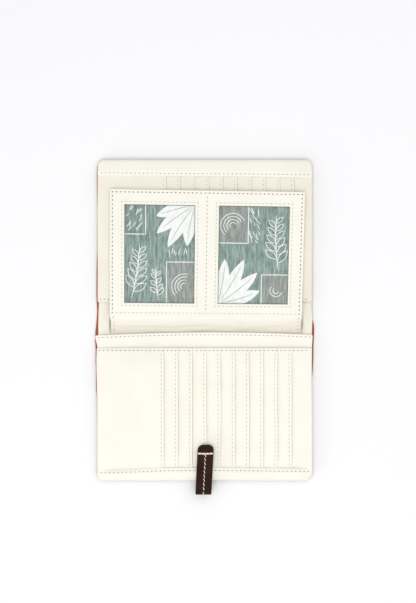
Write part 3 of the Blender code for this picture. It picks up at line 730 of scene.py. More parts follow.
class Half:
    """One half of the wallet: which way lies outward, where its pockets begin and end, and where they are
    pressed flat: at their mouths' end, under the hem and at the sides."""

    def __init__(self, name, look, raw_look, seed):
        self.name, self.look, self.raw_look, self.seed = name, look, raw_look, seed
        self.ride = riding(f"{name}_half")
        low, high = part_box(f"{name}_pocket_01")
        hem_low, hem_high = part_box(f"{name}_edge_band")
        self.outward = 1 if high.y > 0 else -1
        self.mouth, self.far = (low.y, high.y)[::self.outward]
        self.hem, self.edge = (hem_low.y, hem_high.y)[::self.outward]
        self.hem_top, self.hem_floor = hem_high.z, hem_low.z
        self.thickness, self.panel_middle, self.wide_end = high.z - low.z, (low.z + high.z) / 2, high.x
        self.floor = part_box(f"{name}_pocket_02")[0].z
        self.mouth_seam = self.mouth + self.outward * MOUTH_SEAM_IN
        self.mouth_letter = "t" if self.outward < 0 else "b"
        self.ripple = waves(seed, 0.14 * MM, 55 * MM)

    def press(self, x, y):
        """The share of its height that a pocket keeps."""
        to_hem = np.maximum(self.outward * (self.hem - y), 0)
        near_end = fading(np.abs(y - self.mouth), PRESS_REACH) + fading(to_hem, PRESS_REACH)
        near_side = fading(SIDE - np.abs(x), PRESS_REACH)
        return (1 - END_PRESS * near_end) * (1 - SIDE_PRESS * near_side)

    def lip(self, x, y):
        drop = LIP_DROP + (WIDE_LIP_DROP - LIP_DROP) * smooth((self.wide_end - x) / WIDE_LIP_FADE)
        return drop * fading(np.abs(y - self.mouth), LIP_REACH)


def pocket_sheet(half, index, name, base):
    """The leather of one pocket. The first is the wide panel, and base marks the base panel."""
    low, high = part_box(name)
    rise = high.z - low.z - half.thickness
    start = low.z + half.thickness / 2
    own = waves(half.seed + 7 * index + 1, 0.10 * MM, 38 * MM)
    wander = waves(half.seed + 11 * index + 3, EDGE_WANDER, 60 * MM)
    sides = outlined_sides(POCKETS_LEFT, POCKETS_RIGHT)

    def lift(x, y):
        share = np.clip((x - low.x) / (high.x - low.x), 0, 1)
        pressed = half.press(x, y)
        height = start + rise * share - half.floor + half.ripple(x, y) + own(x, y) * share
        return half.floor + height * pressed - half.lip(x, y)

    def warp(x, y):
        share = smooth((x - low.x) / (high.x - low.x))
        edge = 0 if base else wander(0 * x, y)
        return sides(x, y)[0] + edge * share, y + MOUTH_WANDER * wander(x, 0 * y)

    return filling(
        name + "_leather", name, lift, thickness=half.thickness, warp=warp, rounding=POCKET_ROUNDING,
        step=NARROW_STEP if index and not base else WIDE_STEP, seams_y=[half.mouth_seam],
        seams_x=[] if base else [high.x - POCKET_SEAM_IN],
        raw=("" if base else "r") + (half.mouth_letter if index else ""), raw_look=half.raw_look,
    )


def make_card_pockets(half):
    """The wide panel, the shingled strips beside it and the base panel, with their seams."""
    rows = Seam(f"{half.name}_mouth_seams", half.seed)
    light_rows = Seam(f"{half.name}_pocket_seams", half.seed + 1)
    seam_end = half.far - half.outward * POCKET_SEAM_END
    names = [f"{half.name}_pocket_{index:02d}" for index in range(1, 11)] + [f"{half.name}_card_base"]
    shown_from = -SIDE
    for index, name in enumerate(names):
        base = name == names[-1]
        sheet = pocket_sheet(half, index, name, base)
        dress(sheet, half.look, half.ride, name)
        for seam in sheet.seams_x:
            light_rows.sew(sheet, (seam, half.mouth_seam), (seam, seam_end))
        shown_to = sheet.right - (BASE_CLEAR if base else STITCH_CLEAR)
        first = math.ceil((shown_from + STITCH_CLEAR - STITCH_ORIGIN) / STITCH_PITCH)
        last = math.floor((shown_to - STITCH_ORIGIN) / STITCH_PITCH)
        ends = [(STITCH_ORIGIN + number * STITCH_PITCH, half.mouth_seam) for number in (first, last)]
        rows.sew(sheet, *ends)
        shown_from = sheet.right
    rows.build(half.ride)
    light_rows.build(half.ride, hole_look=PALE_NEEDLE_SHADE)


def make_inner_layers(half):
    """Backing board and the wide panel's pocket bag: their edges show from the sides."""
    board, bag = f"{half.name}_card_backing", f"{half.name}_pocket_fabric"
    low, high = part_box(board)
    near, far = (low.y, high.y)[::half.outward]
    ends = sorted((near + half.outward * BACKING_INSET, far))
    sheet = filling(board + "_sheet", board, low=ends[0], high=ends[1], step=BOARD_STEP)
    dress(sheet, BOARD, half.ride, board, slot="backing_board")
    under = half.panel_middle - half.floor
    drop = (half.thickness + CLOTH_THICKNESS) / 2 + CLOTH_GAP
    ripple = waves(half.seed + 50, 0.10 * MM, 40 * MM)

    def lift(x, y):
        pressed = half.press(x, y)
        height = half.floor + np.maximum(under * pressed - drop, CLOTH_THICKNESS / 2)
        return height + ripple(x, y) * pressed * CLOTH_RIPPLE_SHARE

    sheet = filling(f"{half.name}_pocket_bag", bag, lift, thickness=CLOTH_THICKNESS, step=BOARD_STEP)
    dress(sheet, FABRIC, half.ride, bag, slot="pocket_fabric")


# Hem bands
BAND_ROUNDING, BAND_SEAM_IN, BAND_SEAM_END = 5 * MM, 2.5 * MM, 3 * MM
BAND_ROOF, BAND_EDGE_ROLL, BAND_WALL_GAP = 0.8 * MM, 0.4 * MM, 0.3 * MM
HEM_SLOPE_SHARE, HEM_FALL_SHARE, HEM_ROLL_FROM = 0.32, 0.96, 0.80
HEM_SLOPE_POWER, HEM_ROLL_POWER = 1.5, 2.6
HEM_SIDE_PRESS, HEM_PRESS_REACH = 0.3, 12 * MM
HEM_SECTIONS, HEM_FLAT_STEPS, HEM_ROLL_STEPS, HEM_UNDER_STEPS, HEM_STEP_POWER = 72, 24, 10, 5, 1.6
BAND_LIP_DROP, BAND_LIP_REACH = 1.35 * MM, 4.2 * MM
BAND_SIDE_GRID = np.array([share * MM for share in (0, 0.05, 0.2, 0.5, 1, 1.6, 2.4, 3.4, 4.4)])
BAND_SIDE_ROLL, BAND_SIDE_DROP = 0.9 * MM, 0.5 * MM
LOWER_EDGE_LEFT, LOWER_EDGE_MIDDLE, LOWER_EDGE_RIGHT = 1.9 * MM, -0.5 * MM, 0.3 * MM
UPPER_EDGE_TILT, EDGE_CALM_SHARE = 0.85 * MM, 0.25


def band_edge(name, x):
    """How far out the hem's inner edge lies at x, off its straight line."""
    if name == "upper":
        return -UPPER_EDGE_TILT * x / SIDE
    left, right = (
        smooth((out - EDGE_CALM_SHARE * SIDE) / ((1 - EDGE_CALM_SHARE) * SIDE)) for out in (-x, x)
    )
    rest = LOWER_EDGE_MIDDLE
    return rest + (LOWER_EDGE_LEFT - rest) * left + (LOWER_EDGE_RIGHT - rest) * right


class Hem:
    """A turned hem over the pocket ends: its lip is pressed on them, and it rolls down outside."""

    def __init__(self, half):
        self.half, self.inner, self.outward = half, half.hem, half.outward
        self.width = abs(half.edge - half.hem)
        self.wall = abs(half.far - half.hem) + BAND_WALL_GAP
        self.top, self.floor = half.hem_top, half.hem_floor
        self.ripple = waves(half.seed + 80, 0.15 * MM, 45 * MM)
        self.sway = waves(half.seed + 81, 0.25 * MM, 60 * MM)

    def height(self, x, aside):
        """The top face's height, aside of the inner edge."""
        share = aside / self.width
        fall = np.clip((share - HEM_ROLL_FROM) / (1 - HEM_ROLL_FROM), 0, 1)
        fallen = 1 - np.sqrt(np.clip(1 - fall ** HEM_ROLL_POWER, 0, 1))
        rolled = HEM_SLOPE_SHARE * share ** HEM_SLOPE_POWER + (HEM_FALL_SHARE - HEM_SLOPE_SHARE) * fallen
        lead = np.clip(aside / BAND_EDGE_ROLL, 0, 1)
        edge = BAND_ROOF / 2 * (1 - np.sqrt(1 - (1 - lead) ** 2))
        lip = BAND_LIP_DROP * fading(aside, BAND_LIP_REACH)
        height = self.top - (self.top - self.floor) * rolled - dent(aside - BAND_SEAM_IN) - edge - lip
        height = height + self.ripple(x, aside) * (1 - share)
        press = HEM_SIDE_PRESS * fading(SIDE - np.abs(x), HEM_PRESS_REACH)
        return height - (height - self.floor) * press

    def place(self, x, aside):
        """The plan Y of a distance outward from the inner edge, drawn in at the round corners."""
        beyond = np.maximum(0.0, np.abs(x) - (SIDE - BAND_ROUNDING))
        drawn = BAND_ROUNDING - np.sqrt(np.maximum(0.0, BAND_ROUNDING ** 2 - beyond ** 2))
        share = aside / self.width
        shift = (band_edge(self.half.name, x) + self.sway(x, 0 * x)) * (1 - share)
        return self.inner + self.outward * (aside + shift - drawn * smooth(share))

    def at(self, x, y, side):
        """The top face for its stitches, or a point under it."""
        aside = self.outward * (y - self.inner)
        height = self.height(x, aside)
        return np.stack([x, self.place(x, aside), height - (0 if side > 0 else BAND_ROOF)], axis=-1)

    def build(self, look, slot):
        """Sections across the hem, from side to side. A section's points have a distance from the inner
        edge and a depth under the roof, where None stands for the floor."""
        flat_shares = np.linspace(0, HEM_ROLL_FROM, HEM_FLAT_STEPS, endpoint=False)
        roll_shares = 1 - (1 - HEM_ROLL_FROM) * np.linspace(1, 0, HEM_ROLL_STEPS) ** HEM_STEP_POWER
        shares = np.concatenate([flat_shares, roll_shares])
        under = [(self.width, None), (self.wall, None)]
        under += [(aside, BAND_ROOF) for aside in np.linspace(self.wall, 0, HEM_UNDER_STEPS)]
        inner_xs = np.linspace(-SIDE + BAND_ROUNDING, SIDE - BAND_ROUNDING, HEM_SECTIONS)
        rings = []
        for x in np.concatenate([-SIDE + BAND_SIDE_GRID, inner_xs, (SIDE - BAND_SIDE_GRID)[::-1]]):
            from_side = min(1.0, (SIDE - abs(x)) / BAND_SIDE_ROLL)
            side_drop = BAND_SIDE_DROP * (1 - math.sqrt(max(0.0, 1 - (1 - from_side) ** 2)))
            ring = []
            for aside, depth in [*((share * self.width, side_drop) for share in shares), *under]:
                height = self.floor
                if depth is not None:
                    height = max(self.floor, float(self.height(x, aside)) - depth)
                point = (x, float(self.place(x, aside)), height)
                ring.append((point, (x, self.inner + self.outward * aside)))
            rings.append(ring)
        lists = ([], [], [])
        loft(lists, rings)
        return mesh_piece(f"{self.half.name}_edge_hem", lists, look)


def make_band(half):
    hem = Hem(half)
    dress(hem, CREAM, half.ride, f"{half.name}_edge_band")
    row = Seam(f"{half.name}_hem_seam", half.seed + 85)
    seam = hem.inner + hem.outward * BAND_SEAM_IN
    row.sew(hem, (-SIDE + BAND_SEAM_END, seam), (SIDE - BAND_SEAM_END, seam))
    row.build(half.ride)


# Window page. Its corners lie a little askew in the photograph: its low and its high corners in plan
PAGE_CORNERS = np.array([[(-77.9, 4.2), (79.4, 2.7)], [(-77.9, 107.5), (82.2, 105.0)]]) * MM
PAGE_SEAM_IN, PAGE_HOLE_RADIUS = 2.2 * MM, 0.55 * MM
PAGE_ROUNDING, PAGE_STEP = 1.8 * MM, 2.4 * MM
WINDOW_SEAM_OUT, WINDOW_LAP, CORE_CUT_OUT = 2.2 * MM, 3 * MM, 3.4 * MM
STRIP_LAP, CORE_INSET, BACK_INSET = 1.9 * MM, 0.2 * MM, 0.4 * MM
PAGE_COCKLE = waves(41, 0.22 * MM, 70 * MM)
PAGE_RIPPLE = waves(43, 0.04 * MM, 24 * MM)
PAGE_RISE, PAGE_RISE_REACH, LAYER_COCKLE = 0.2 * MM, 8 * MM, 0.6
CARD_STEP, FILM_THICKNESS, FILM_RISE = 6 * MM, 0.2 * MM, 0.12 * MM


def page_warp(x, y):
    """Bilinear move from the page's flat rectangle to where its corners lie."""
    u = (x - PAGE_LOW.x) / (PAGE_HIGH.x - PAGE_LOW.x)
    v = (y - PAGE_LOW.y) / (PAGE_HIGH.y - PAGE_LOW.y)
    result = []
    for (low_left, low_right), (high_left, high_right) in (PAGE_CORNERS[..., 0], PAGE_CORNERS[..., 1]):
        low, high = low_left * (1 - u) + low_right * u, high_left * (1 - u) + high_right * u
        result.append(low * (1 - v) + high * v)
    return result[0], result[1]


def page_lift(x, y):
    """The middle height of the page's front leather: flat at its low edge, where it turns."""
    wave = PAGE_RISE + PAGE_COCKLE(x, y) + PAGE_RIPPLE(x, y)
    return (PAGE_LOW.z + PAGE_HIGH.z) / 2 + wave * smooth((y - PAGE_LOW.y) / PAGE_RISE_REACH)


def grown(window, out):
    """A window's sides, moved out."""
    x0, x1, y0, y1 = window
    return x0 - out, x1 + out, y0 - out, y1 + out


def window_opening(side):
    """A window's opening: its insert less the lap round it."""
    low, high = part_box(f"window_insert_{side}")
    return grown((low.x, high.x, low.y, high.y), -WINDOW_LAP)


WINDOWS = {side: window_opening(side) for side in ("left", "right")}


def make_page_layer(name, node, inset, start, look, slot, ride, **options):
    """A layer behind the page's front, which follows its cockle less."""
    low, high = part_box(node)
    sheet = filling(
        name, node, lambda x, y: (low.z + high.z) / 2 + PAGE_COCKLE(x, y) * LAYER_COCKLE,
        left=PAGE_LOW.x + inset, right=PAGE_HIGH.x - inset, low=PAGE_LOW.y + start,
        high=PAGE_HIGH.y - inset, step=BOARD_STEP, warp=page_warp, rounding=PAGE_ROUNDING, **options,
    )
    dress(sheet, look, ride, node, slot=slot)


def make_window_page():
    low, high = PAGE_LOW, PAGE_HIGH
    centre = (WINDOWS["left"][1] + WINDOWS["right"][0]) / 2
    left, right, bottom, top = grown((low.x, high.x, low.y, high.y), -PAGE_SEAM_IN)
    front = filling(
        "page_front_leather", "page_front", page_lift, step=PAGE_STEP, warp=page_warp,
        rounding=PAGE_ROUNDING, corners=(1,), rolled="lrt", seams_x=[left, centre, right],
        seams_y=[bottom, top], holes=list(WINDOWS.values()),
    )
    ride = riding("window_page")
    dress(front, CREAM, ride, "page_front")
    cuts = [grown(window, CORE_CUT_OUT) for window in WINDOWS.values()]
    for name, node, inset, start, look, slot, options in (
        ("page_core", "page_core", CORE_INSET, STRIP_LAP, BOARD, "backing_board", dict(holes=cuts)),
        ("page_back_leather", "page_back", 0, BACK_INSET, CREAM, "cream_leather", {}),
    ):
        make_page_layer(name, node, inset, start, look, slot, ride, **options)
    rows, light_rows = Seam("page_seams", 47, PAGE_HOLE_RADIUS), Seam("page_light_seams", 48)
    rows.sew(front, (left, bottom), (left, top), (right, top), (right, bottom))
    light_rows.sew(front, (right, bottom), (left, bottom))
    for window in WINDOWS.values():
        x0, x1, y0, y1 = grown(window, WINDOW_SEAM_OUT)
        light_rows.sew(front, (x0, y0), (x0, y1), (x1, y1), (x1, y0), (x0, y0))
    rows.build(ride, hole_look=DARK_NEEDLE_SHADE)
    light_rows.build(ride, hole_look=PALE_NEEDLE_SHADE)
    centre_row = Seam("page_centre_seam", 49)
    centre_row.sew(front, (centre, bottom), (centre, top))
    centre_row.build(ride)
    for side in WINDOWS:
        make_window(side, ride)


# Printed cards: a ground with blocks in other tones, given in shares of the window
TEAL = ((0.045, 0.125, 0.100), (0.262, 0.392, 0.350))
DEEP_TEAL = ((0.050, 0.120, 0.098), (0.205, 0.322, 0.284))
TAUPE = ((0.120, 0.160, 0.138), (0.315, 0.350, 0.322))
# A dark band on the card along each window's edge is painted shade from the front leather's cut edge.
WINDOW_EDGE_SHADE = ((0.030, 0.050, 0.044), (0.075, 0.105, 0.095))
WINDOW_EDGE_SHADE_WIDTH = 0.45 * MM
MOTTLE_PLACES = (0.40, 0.60)
CARD_BLOCKS = {
    "left": [((0.60, 1.1, -0.1, 0.42), TAUPE), ((-0.1, 0.30, 0.70, 1.1), DEEP_TEAL)],
    "right": [((-0.1, 0.42, 0.62, 1.1), TAUPE), ((0.62, 1.1, -0.1, 0.30), TAUPE)],
}
FILM_SEEDS = {"left": 61, "right": 62}


def printed_card(name, blocks):
    """Printed card: blocks on the ground, and a soft paper mottle in every tone. A block may be painted
    shade, as the dark band along a window's edge is.
    """
    shader = Shader(name)
    across, along = shader.axis("X"), shader.axis("Y")
    mottle = shader.noise(620.0, detail=5.0, roughness=0.7, stretch=0.13)
    colour = shader.ramp(mottle, MOTTLE_PLACES, TEAL)
    for (x0, x1, y0, y1), tones in blocks:
        mask = None
        for axis, low, high in ((across, x0, x1), (along, y0, y1)):
            for test, edge in (("GREATER_THAN", low), ("LESS_THAN", high)):
                inside = shader.math(test, axis, edge)
                mask = inside if mask is None else shader.math("MULTIPLY", mask, inside)
        colour = shader.mix(mask, colour, shader.ramp(mottle, MOTTLE_PLACES, tones))
    return shader.surface(Base_Color=colour, Roughness=0.55)


def make_window(side, ride):
    """Film and a printed card of a plain design of its own behind a window."""
    insert, film = f"window_insert_{side}", f"window_film_{side}"
    low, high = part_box(insert)
    x0, x1, y0, y1 = WINDOWS[side]
    in_x, out_x, in_y, out_y = grown(WINDOWS[side], -WINDOW_EDGE_SHADE_WIDTH)
    blocks = [
        ((x0 + a * (x1 - x0), x0 + b * (x1 - x0), y0 + c * (y1 - y0), y0 + d * (y1 - y0)), tones)
        for (a, b, c, d), tones in CARD_BLOCKS[side]
    ]
    # Bands of painted shade along the window's edges, laid on the card as blocks.
    blocks += [
        (area, WINDOW_EDGE_SHADE) for area in (
            (low.x, in_x, low.y, high.y), (out_x, high.x, low.y, high.y),
            (low.x, high.x, low.y, in_y), (low.x, high.x, out_y, high.y),
        )
    ]
    card = filling(f"window_card_{side}", insert, step=CARD_STEP, warp=page_warp)
    dress(card, printed_card(f"printed_card_{side}", blocks), ride, insert, slot="printed_card")
    make_line_art(side, high.z, ride)
    film_low, film_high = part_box(film)
    middle = (film_low.z + film_high.z) / 2 + FILM_RISE
    cockle = waves(FILM_SEEDS[side], 0.10 * MM, 20 * MM)
    sheet = filling(
        f"window_film_sheet_{side}", film, lambda x, y: middle + cockle(x, y), thickness=FILM_THICKNESS,
        warp=page_warp,
    )
    dress(sheet, FILM, ride, film, slot="clear_film")


LINE_WIDTH, THIN_LINE, LEAF_LINE, VEIN_LINE = 0.8 * MM, 0.64 * MM, 0.6 * MM, 0.56 * MM
INK_HEIGHT, INK_STEP, INK_LEVEL, VEIN_LEVEL = 0.03 * MM, 0.002 * MM, 0.01 * MM, 0.20 * MM
STEM_STEPS, STEM_START, STEM_SPAN = 14, 0.15, 0.80
LEAF_STEPS, LEAF_TURN, LEAF_SIZE, LEAF_GROWTH, LEAF_SHRINK, LEAF_WIDTH = 9, 0.8, 0.27, 1.15, 0.6, 0.20
STROKE_STEPS, STROKE_TURN, STROKE_LENGTHS, STROKE_BEND = 4, 0.35, (0.6, 1.2), 0.3
RING_STEPS_PER_MM, LEAST_RING_STEPS, RULE_STEPS = 1.6, 10, 12
BROAD_LEAF_WIDTH, BROAD_LEAF_BEND = 10.5 * MM, 0.25


def towards(angle):
    return np.array([math.cos(angle), math.sin(angle)])


class Drawing:
    """Flat printed shapes a hair thick on a window card, kept within it."""

    def __init__(self, side, height, seed=0):
        x0, x1, y0, y1 = WINDOWS[side]
        self.corner, self.size = np.array([x0, y0]), np.array([x1 - x0, y1 - y0])
        self.low, self.high = self.corner + WINDOW_EDGE_SHADE_WIDTH, np.array([x1, y1]) - WINDOW_EDGE_SHADE_WIDTH
        self.height = height
        self.draw = random.Random(seed)
        self.lists = ([], [], [])

    def spot(self, a, b):
        """The place at shares a and b of the window."""
        return self.corner + self.size * np.array([a, b])

    def line(self, spots, width, swell=0.5, least=0.35):
        """A line along spots, thinner at its ends."""
        self.height += INK_STEP
        last = len(spots) - 1
        rings = []
        for index, spot in enumerate(spots):
            along = spots[min(index + 1, last)] - spots[max(index - 1, 0)]
            along = along / max(np.linalg.norm(along), 1e-9)
            aside = np.array([-along[1], along[0]]) * width / 2
            bulge = math.sin(math.pi * index / last) ** swell if 0 < index < last else 0.0
            taper = least + (1 - least) * bulge
            ring = []
            for sign, faces in ((-1, (0, INK_HEIGHT)), (1, (INK_HEIGHT, 0))):
                flat = np.clip(spot + aside * sign * taper, self.low, self.high)
                ring += [((*page_warp(*flat), self.height + face), flat) for face in faces]
            rings.append(ring)
        loft(self.lists, rings)

    @staticmethod
    def bent(root, angle, length, bend, steps=STEM_STEPS):
        """A bent line from root."""
        spots = [np.array(root)]
        for step in range(steps):
            spots.append(spots[-1] + length / steps * towards(angle + bend * (step + 0.5) / steps))
        return spots

    def outlined_leaf(self, root, angle, length, width):
        along = towards(angle)
        aside = np.array([-along[1], along[0]])
        for side in (-aside, aside):
            spots = [
                root + along * length * step / LEAF_STEPS
                + side * width * math.sin(math.pi * step / LEAF_STEPS)
                for step in range(LEAF_STEPS + 1)
            ]
            self.line(spots, LEAF_LINE, least=0.6)

    def sprig(self, root, angle, length, leaves, bend):
        """A bent stem with outlined leaves on both sides."""
        stem = self.bent(root, angle, length, bend)
        self.line(stem, LINE_WIDTH)
        for index in range(leaves):
            share = STEM_START + STEM_SPAN * index / leaves
            turn = LEAF_TURN if index % 2 else -LEAF_TURN
            size = length * LEAF_SIZE * (LEAF_GROWTH - LEAF_SHRINK * share)
            root = stem[int(share * STEM_STEPS)]
            self.outlined_leaf(root, angle + bend * share + turn, size, size * LEAF_WIDTH)

    def rings(self, centre, radii, start, sweep):
        for radius in (radius * MM for radius in radii):
            steps = max(LEAST_RING_STEPS, int(radius / MM * RING_STEPS_PER_MM))
            turns = [start + sweep * step / steps for step in range(steps + 1)]
            self.line([centre + radius * towards(turn) for turn in turns], THIN_LINE, least=0.8)

    def strokes(self, area, count, angle, length):
        """Short loose strokes scattered over an area of shares."""
        a0, a1, b0, b1 = area
        for _ in range(count):
            root = self.spot(self.draw.uniform(a0, a1), self.draw.uniform(b0, b1))
            turn = angle + self.draw.uniform(-STROKE_TURN, STROKE_TURN)
            reach = length * self.draw.uniform(*STROKE_LENGTHS)
            self.line(self.bent(root, turn, reach, STROKE_BEND, STROKE_STEPS), THIN_LINE)

    def rule(self, start, end):
        one, other = self.spot(*start), self.spot(*end)
        spots = [one + (other - one) * step / RULE_STEPS for step in range(RULE_STEPS + 1)]
        self.line(spots, LINE_WIDTH, least=0.8)


# The cards' designs in shares of the window, radians and mm
DESIGNS = {
    "left": dict(
        sprigs=(((0.10, 0.04), 1.30, 45, 11, 0.25), ((0.49, 0.03), 1.75, 28, 8, -0.2)),
        rings=(((0.86, 0.17), (3, 5.5, 8, 10.5), 1.3, 2.6),),
        strokes=(((0.02, 0.24, 0.72, 0.95), 16, 0.9, 5), ((0.62, 0.90, 0.46, 0.50), 7, 1.5, 5)),
        fan=(1.0, 1.0), turns=(3.30, 3.66, 4.02, 4.40), lengths=(33, 39, 41, 34),
        rules=(((0.60, -0.02), (0.60, 0.42)), ((0.60, 0.42), (1.03, 0.42)), ((0.30, 0.70), (0.30, 1.02)),
               ((-0.03, 0.70), (0.30, 0.70))),
    ),
    "right": dict(
        sprigs=(((0.86, 0.34), 1.75, 46, 11, -0.25),),
        rings=(((0.20, 0.80), (2.5, 5, 7.5, 10), 0.4, 3.6), ((0.83, 0.14), (2.5, 5), 2.4, 3.6)),
        strokes=(((0.46, 0.60, 0.60, 0.93), 18, 1.9, 6),),
        fan=(0.0, 0.0), turns=(0.18, 0.55, 0.92, 1.30), lengths=(36, 41, 42, 37),
        rules=(((0.42, 0.62), (0.42, 1.02)), ((-0.03, 0.62), (0.42, 0.62)), ((0.62, 0.30), (1.03, 0.30)),
               ((0.62, -0.02), (0.62, 0.30))),
    ),
}


def make_line_art(side, height, ride):
    """Pale line work of a plain design of its own: broad leaves, sprigs, ripples and border lines."""
    design = DESIGNS[side]
    drawing, veins = Drawing(side, height + INK_LEVEL, seed=5), Drawing(side, height + VEIN_LEVEL)
    for root, angle, length, leaves, bend in design["sprigs"]:
        drawing.sprig(drawing.spot(*root), angle, length * MM, leaves, bend)
    for centre, radii, start, sweep in design["rings"]:
        drawing.rings(drawing.spot(*centre), radii, start, sweep)
    for area, count, angle, length in design["strokes"]:
        drawing.strokes(area, count, angle, length * MM)
    for turn, length in zip(design["turns"], design["lengths"]):
        leaf = Drawing.bent(drawing.spot(*design["fan"]), turn, length * MM, BROAD_LEAF_BEND)
        drawing.line(leaf, BROAD_LEAF_WIDTH, swell=0.8, least=0.04)
        veins.line(leaf[1:-2], VEIN_LINE)
    for start, end in design["rules"]:
        drawing.rule(start, end)
    for name, lists, look in (("ink", drawing.lists, WHITE_INK), ("vein", veins.lists, TEAL_INK)):
        ride(mesh_piece(f"window_{name}_{side}", lists, look, sharp=30.0))


# Page hinge: a soft strip drawn along a path in Y and Z, from its foot up to the page's low edge, where
# it lies flush with the front leather
HINGE_BENDS = ((-2.4 * MM, 8.45 * MM), (0.2 * MM, 9.45 * MM))
HINGE_SOFTNESS, HINGE_OVERRUN, HINGE_STEP = 1.6 * MM, 4 * MM, 1.3 * MM
HINGE_MEETING = -4.0 * MM
HINGE_FLARE, HINGE_FLARE_GRIP = 4.5 * MM, 8
HINGE_SEAM_LEFT, HINGE_SEAM_RIGHT = 2.6 * MM, 2.2 * MM
HINGE_SEAM_FOOT, HINGE_SEAM_STOP, HINGE_SEAM_START, HINGE_SEAM_TIP = 1.5 * MM, 0.6 * MM, 2.4 * MM, 1.4 * MM
HINGE_SHADE_FADE_AFTER, HINGE_SHADE_FADE_BEFORE, NORMAL_REACH = 4 * MM, 1 * MM, 0.2 * MM
WRINKLE_HEIGHT, WRINKLE_SINK, WRINKLE_SHARE = 1.0 * MM, 0.15 * MM, 0.7
WRINKLE_STRETCH_X, WRINKLE_STRETCH_S = 0.6, 2.2
CALM_REACH, CALM_INSET = 4 * MM, 1 * MM

# Ridges: how far each lies past the crease, its reach, its height, and how its strength varies
RIDGES = (
    (4.6 * MM, 1.7 * MM, 0.7 * MM), (9.0 * MM, 1.5 * MM, 1.0 * MM), (12.4 * MM, 1.1 * MM, 0.35 * MM),
)
RIDGE_WEIGHT, RIDGE_MOST, RIDGE_SWAY_GAP, RIDGE_WEIGHT_GAP = 0.6, 1.4, 40 * MM, 60 * MM


class HingePath:
    """The strip's path, with its corner points and how far along it each lies."""

    def __init__(self):
        nodes = ("page_hinge_root", "page_hinge_strip", "page_binding")
        foot, self.strip, self.binding = (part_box(node) for node in nodes)
        self.left, self.right = self.strip[0].x, self.strip[1].x
        self.thickness = self.binding[1].z - self.binding[0].z
        low_z, high_z = (foot[0].z + foot[1].z) / 2, PAGE_HIGH.z - self.thickness / 2
        self.nodes = [
            (foot[0].y, low_z), (self.strip[0].y, low_z), *HINGE_BENDS, (PAGE_LOW.y, high_z),
            (PAGE_LOW.y + HINGE_OVERRUN, high_z),
        ]
        self.lengths = [0.0]
        for one, other in zip(self.nodes, self.nodes[1:]):
            self.lengths.append(self.lengths[-1] + math.dist(one, other))
        _, self.crease, self.bend, _, self.end, _ = self.lengths
        run = (HINGE_MEETING - self.strip[0].y) / (HINGE_BENDS[0][0] - self.strip[0].y)
        self.meeting = self.crease + (self.bend - self.crease) * run
        self.wrinkle, self.sway = waves(71, WRINKLE_HEIGHT, 16 * MM), waves(72, 2.2 * MM, 75 * MM)
        self.strength = waves(73, 1.6, 90 * MM)

    def along(self, s):
        """The path's point at a length s, softened at its corners."""
        spots = [
            np.stack([np.interp(s + ahead, self.lengths, line) for line in zip(*self.nodes)], axis=-1)
            for ahead in np.linspace(-HINGE_SOFTNESS, HINGE_SOFTNESS, 9)
        ]
        return sum(spots) / len(spots)

    def wrinkles(self, x, s):
        """Soft creases along X, between the slip pocket and the page."""
        past = s - self.crease
        ridges = 0.0
        for index, (centre, reach, size) in enumerate(RIDGES):
            here = centre + self.sway(x, index * RIDGE_SWAY_GAP + 0 * x)
            strength = self.strength(x, index * RIDGE_WEIGHT_GAP + 0 * x)
            weight = np.clip(RIDGE_WEIGHT + strength, 0, RIDGE_MOST)
            ridges = ridges + size * weight * bell(past - here, reach)
        calm = smooth((past + CALM_INSET) / CALM_REACH) * smooth((self.end - CALM_INSET - s) / CALM_REACH)
        wrinkle = self.wrinkle(x * WRINKLE_STRETCH_X, s * WRINKLE_STRETCH_S)
        return (wrinkle * WRINKLE_SHARE + ridges - WRINKLE_SINK) * calm

    def place(self, x, s, height):
        """A point of the strip, which widens to the page's corners and follows its askew low edge."""
        ahead = self.along(s + NORMAL_REACH) - self.along(s - NORMAL_REACH)
        ahead = ahead / np.linalg.norm(ahead, axis=-1, keepdims=True)
        normal = np.stack([-ahead[..., 1], ahead[..., 0]], axis=-1)
        lifted = self.along(s) + normal * (height + self.wrinkles(x, s))[..., None]
        follow = smooth((s - self.bend) / (self.end - self.bend))
        flare = smooth((s - self.end + HINGE_FLARE) / HINGE_FLARE)
        side = np.where(x < 0, self.left, self.right)
        wide = (np.where(x < 0, *PAGE_CORNERS[0, :, 0]) - side) * np.abs(x / side) ** HINGE_FLARE_GRIP
        edge = page_warp(x, np.full(np.shape(x), PAGE_LOW.y))[1] - PAGE_LOW.y
        return np.stack([x + wide * flare, lifted[..., 0] + edge * follow, lifted[..., 1]], axis=-1)


def make_page_hinge():
    """The strip in two sheets that meet on its slant."""
    path = HingePath()
    crease, meeting, end = path.crease, path.meeting, path.end
    # Painted shade on the strip: its darker tones low down give way to the cream's towards the page.
    fade = (crease + HINGE_SHADE_FADE_AFTER, end - HINGE_SHADE_FADE_BEFORE, CREAM_TONES)
    look = leather("cream_strip", STRIP_SHADE_TONES, 0.66, 1300.0, fade=fade)
    seam_lines = [path.left + HINGE_SEAM_LEFT, path.right - HINGE_SEAM_RIGHT]
    end_bend = bending()
    for name, first, last, rolled, attach, nodes, from_s, to_s in (
        ("page_hinge_lower", 0.0, meeting, "lrb", LOWER_BEND, ("page_hinge_root", "page_hinge_strip"),
         crease - HINGE_SEAM_FOOT, meeting - HINGE_SEAM_STOP),
        ("page_hinge_upper", meeting, end, "lr", end_bend, ("page_binding",),
         meeting + HINGE_SEAM_START, end - HINGE_SEAM_TIP),
    ):
        sheet = Sheet(
            name, path.left, path.right, first, last, path.thickness, level(0), step=HINGE_STEP,
            place=path.place, rolled=rolled, seams_x=seam_lines,
        )
        dress(sheet, look, attach, *nodes)
        rows = Seam(name + "_seam", 75)
        for x in seam_lines:
            rows.sew(sheet, (x, from_s), (x, to_s))
        rows.build(attach)


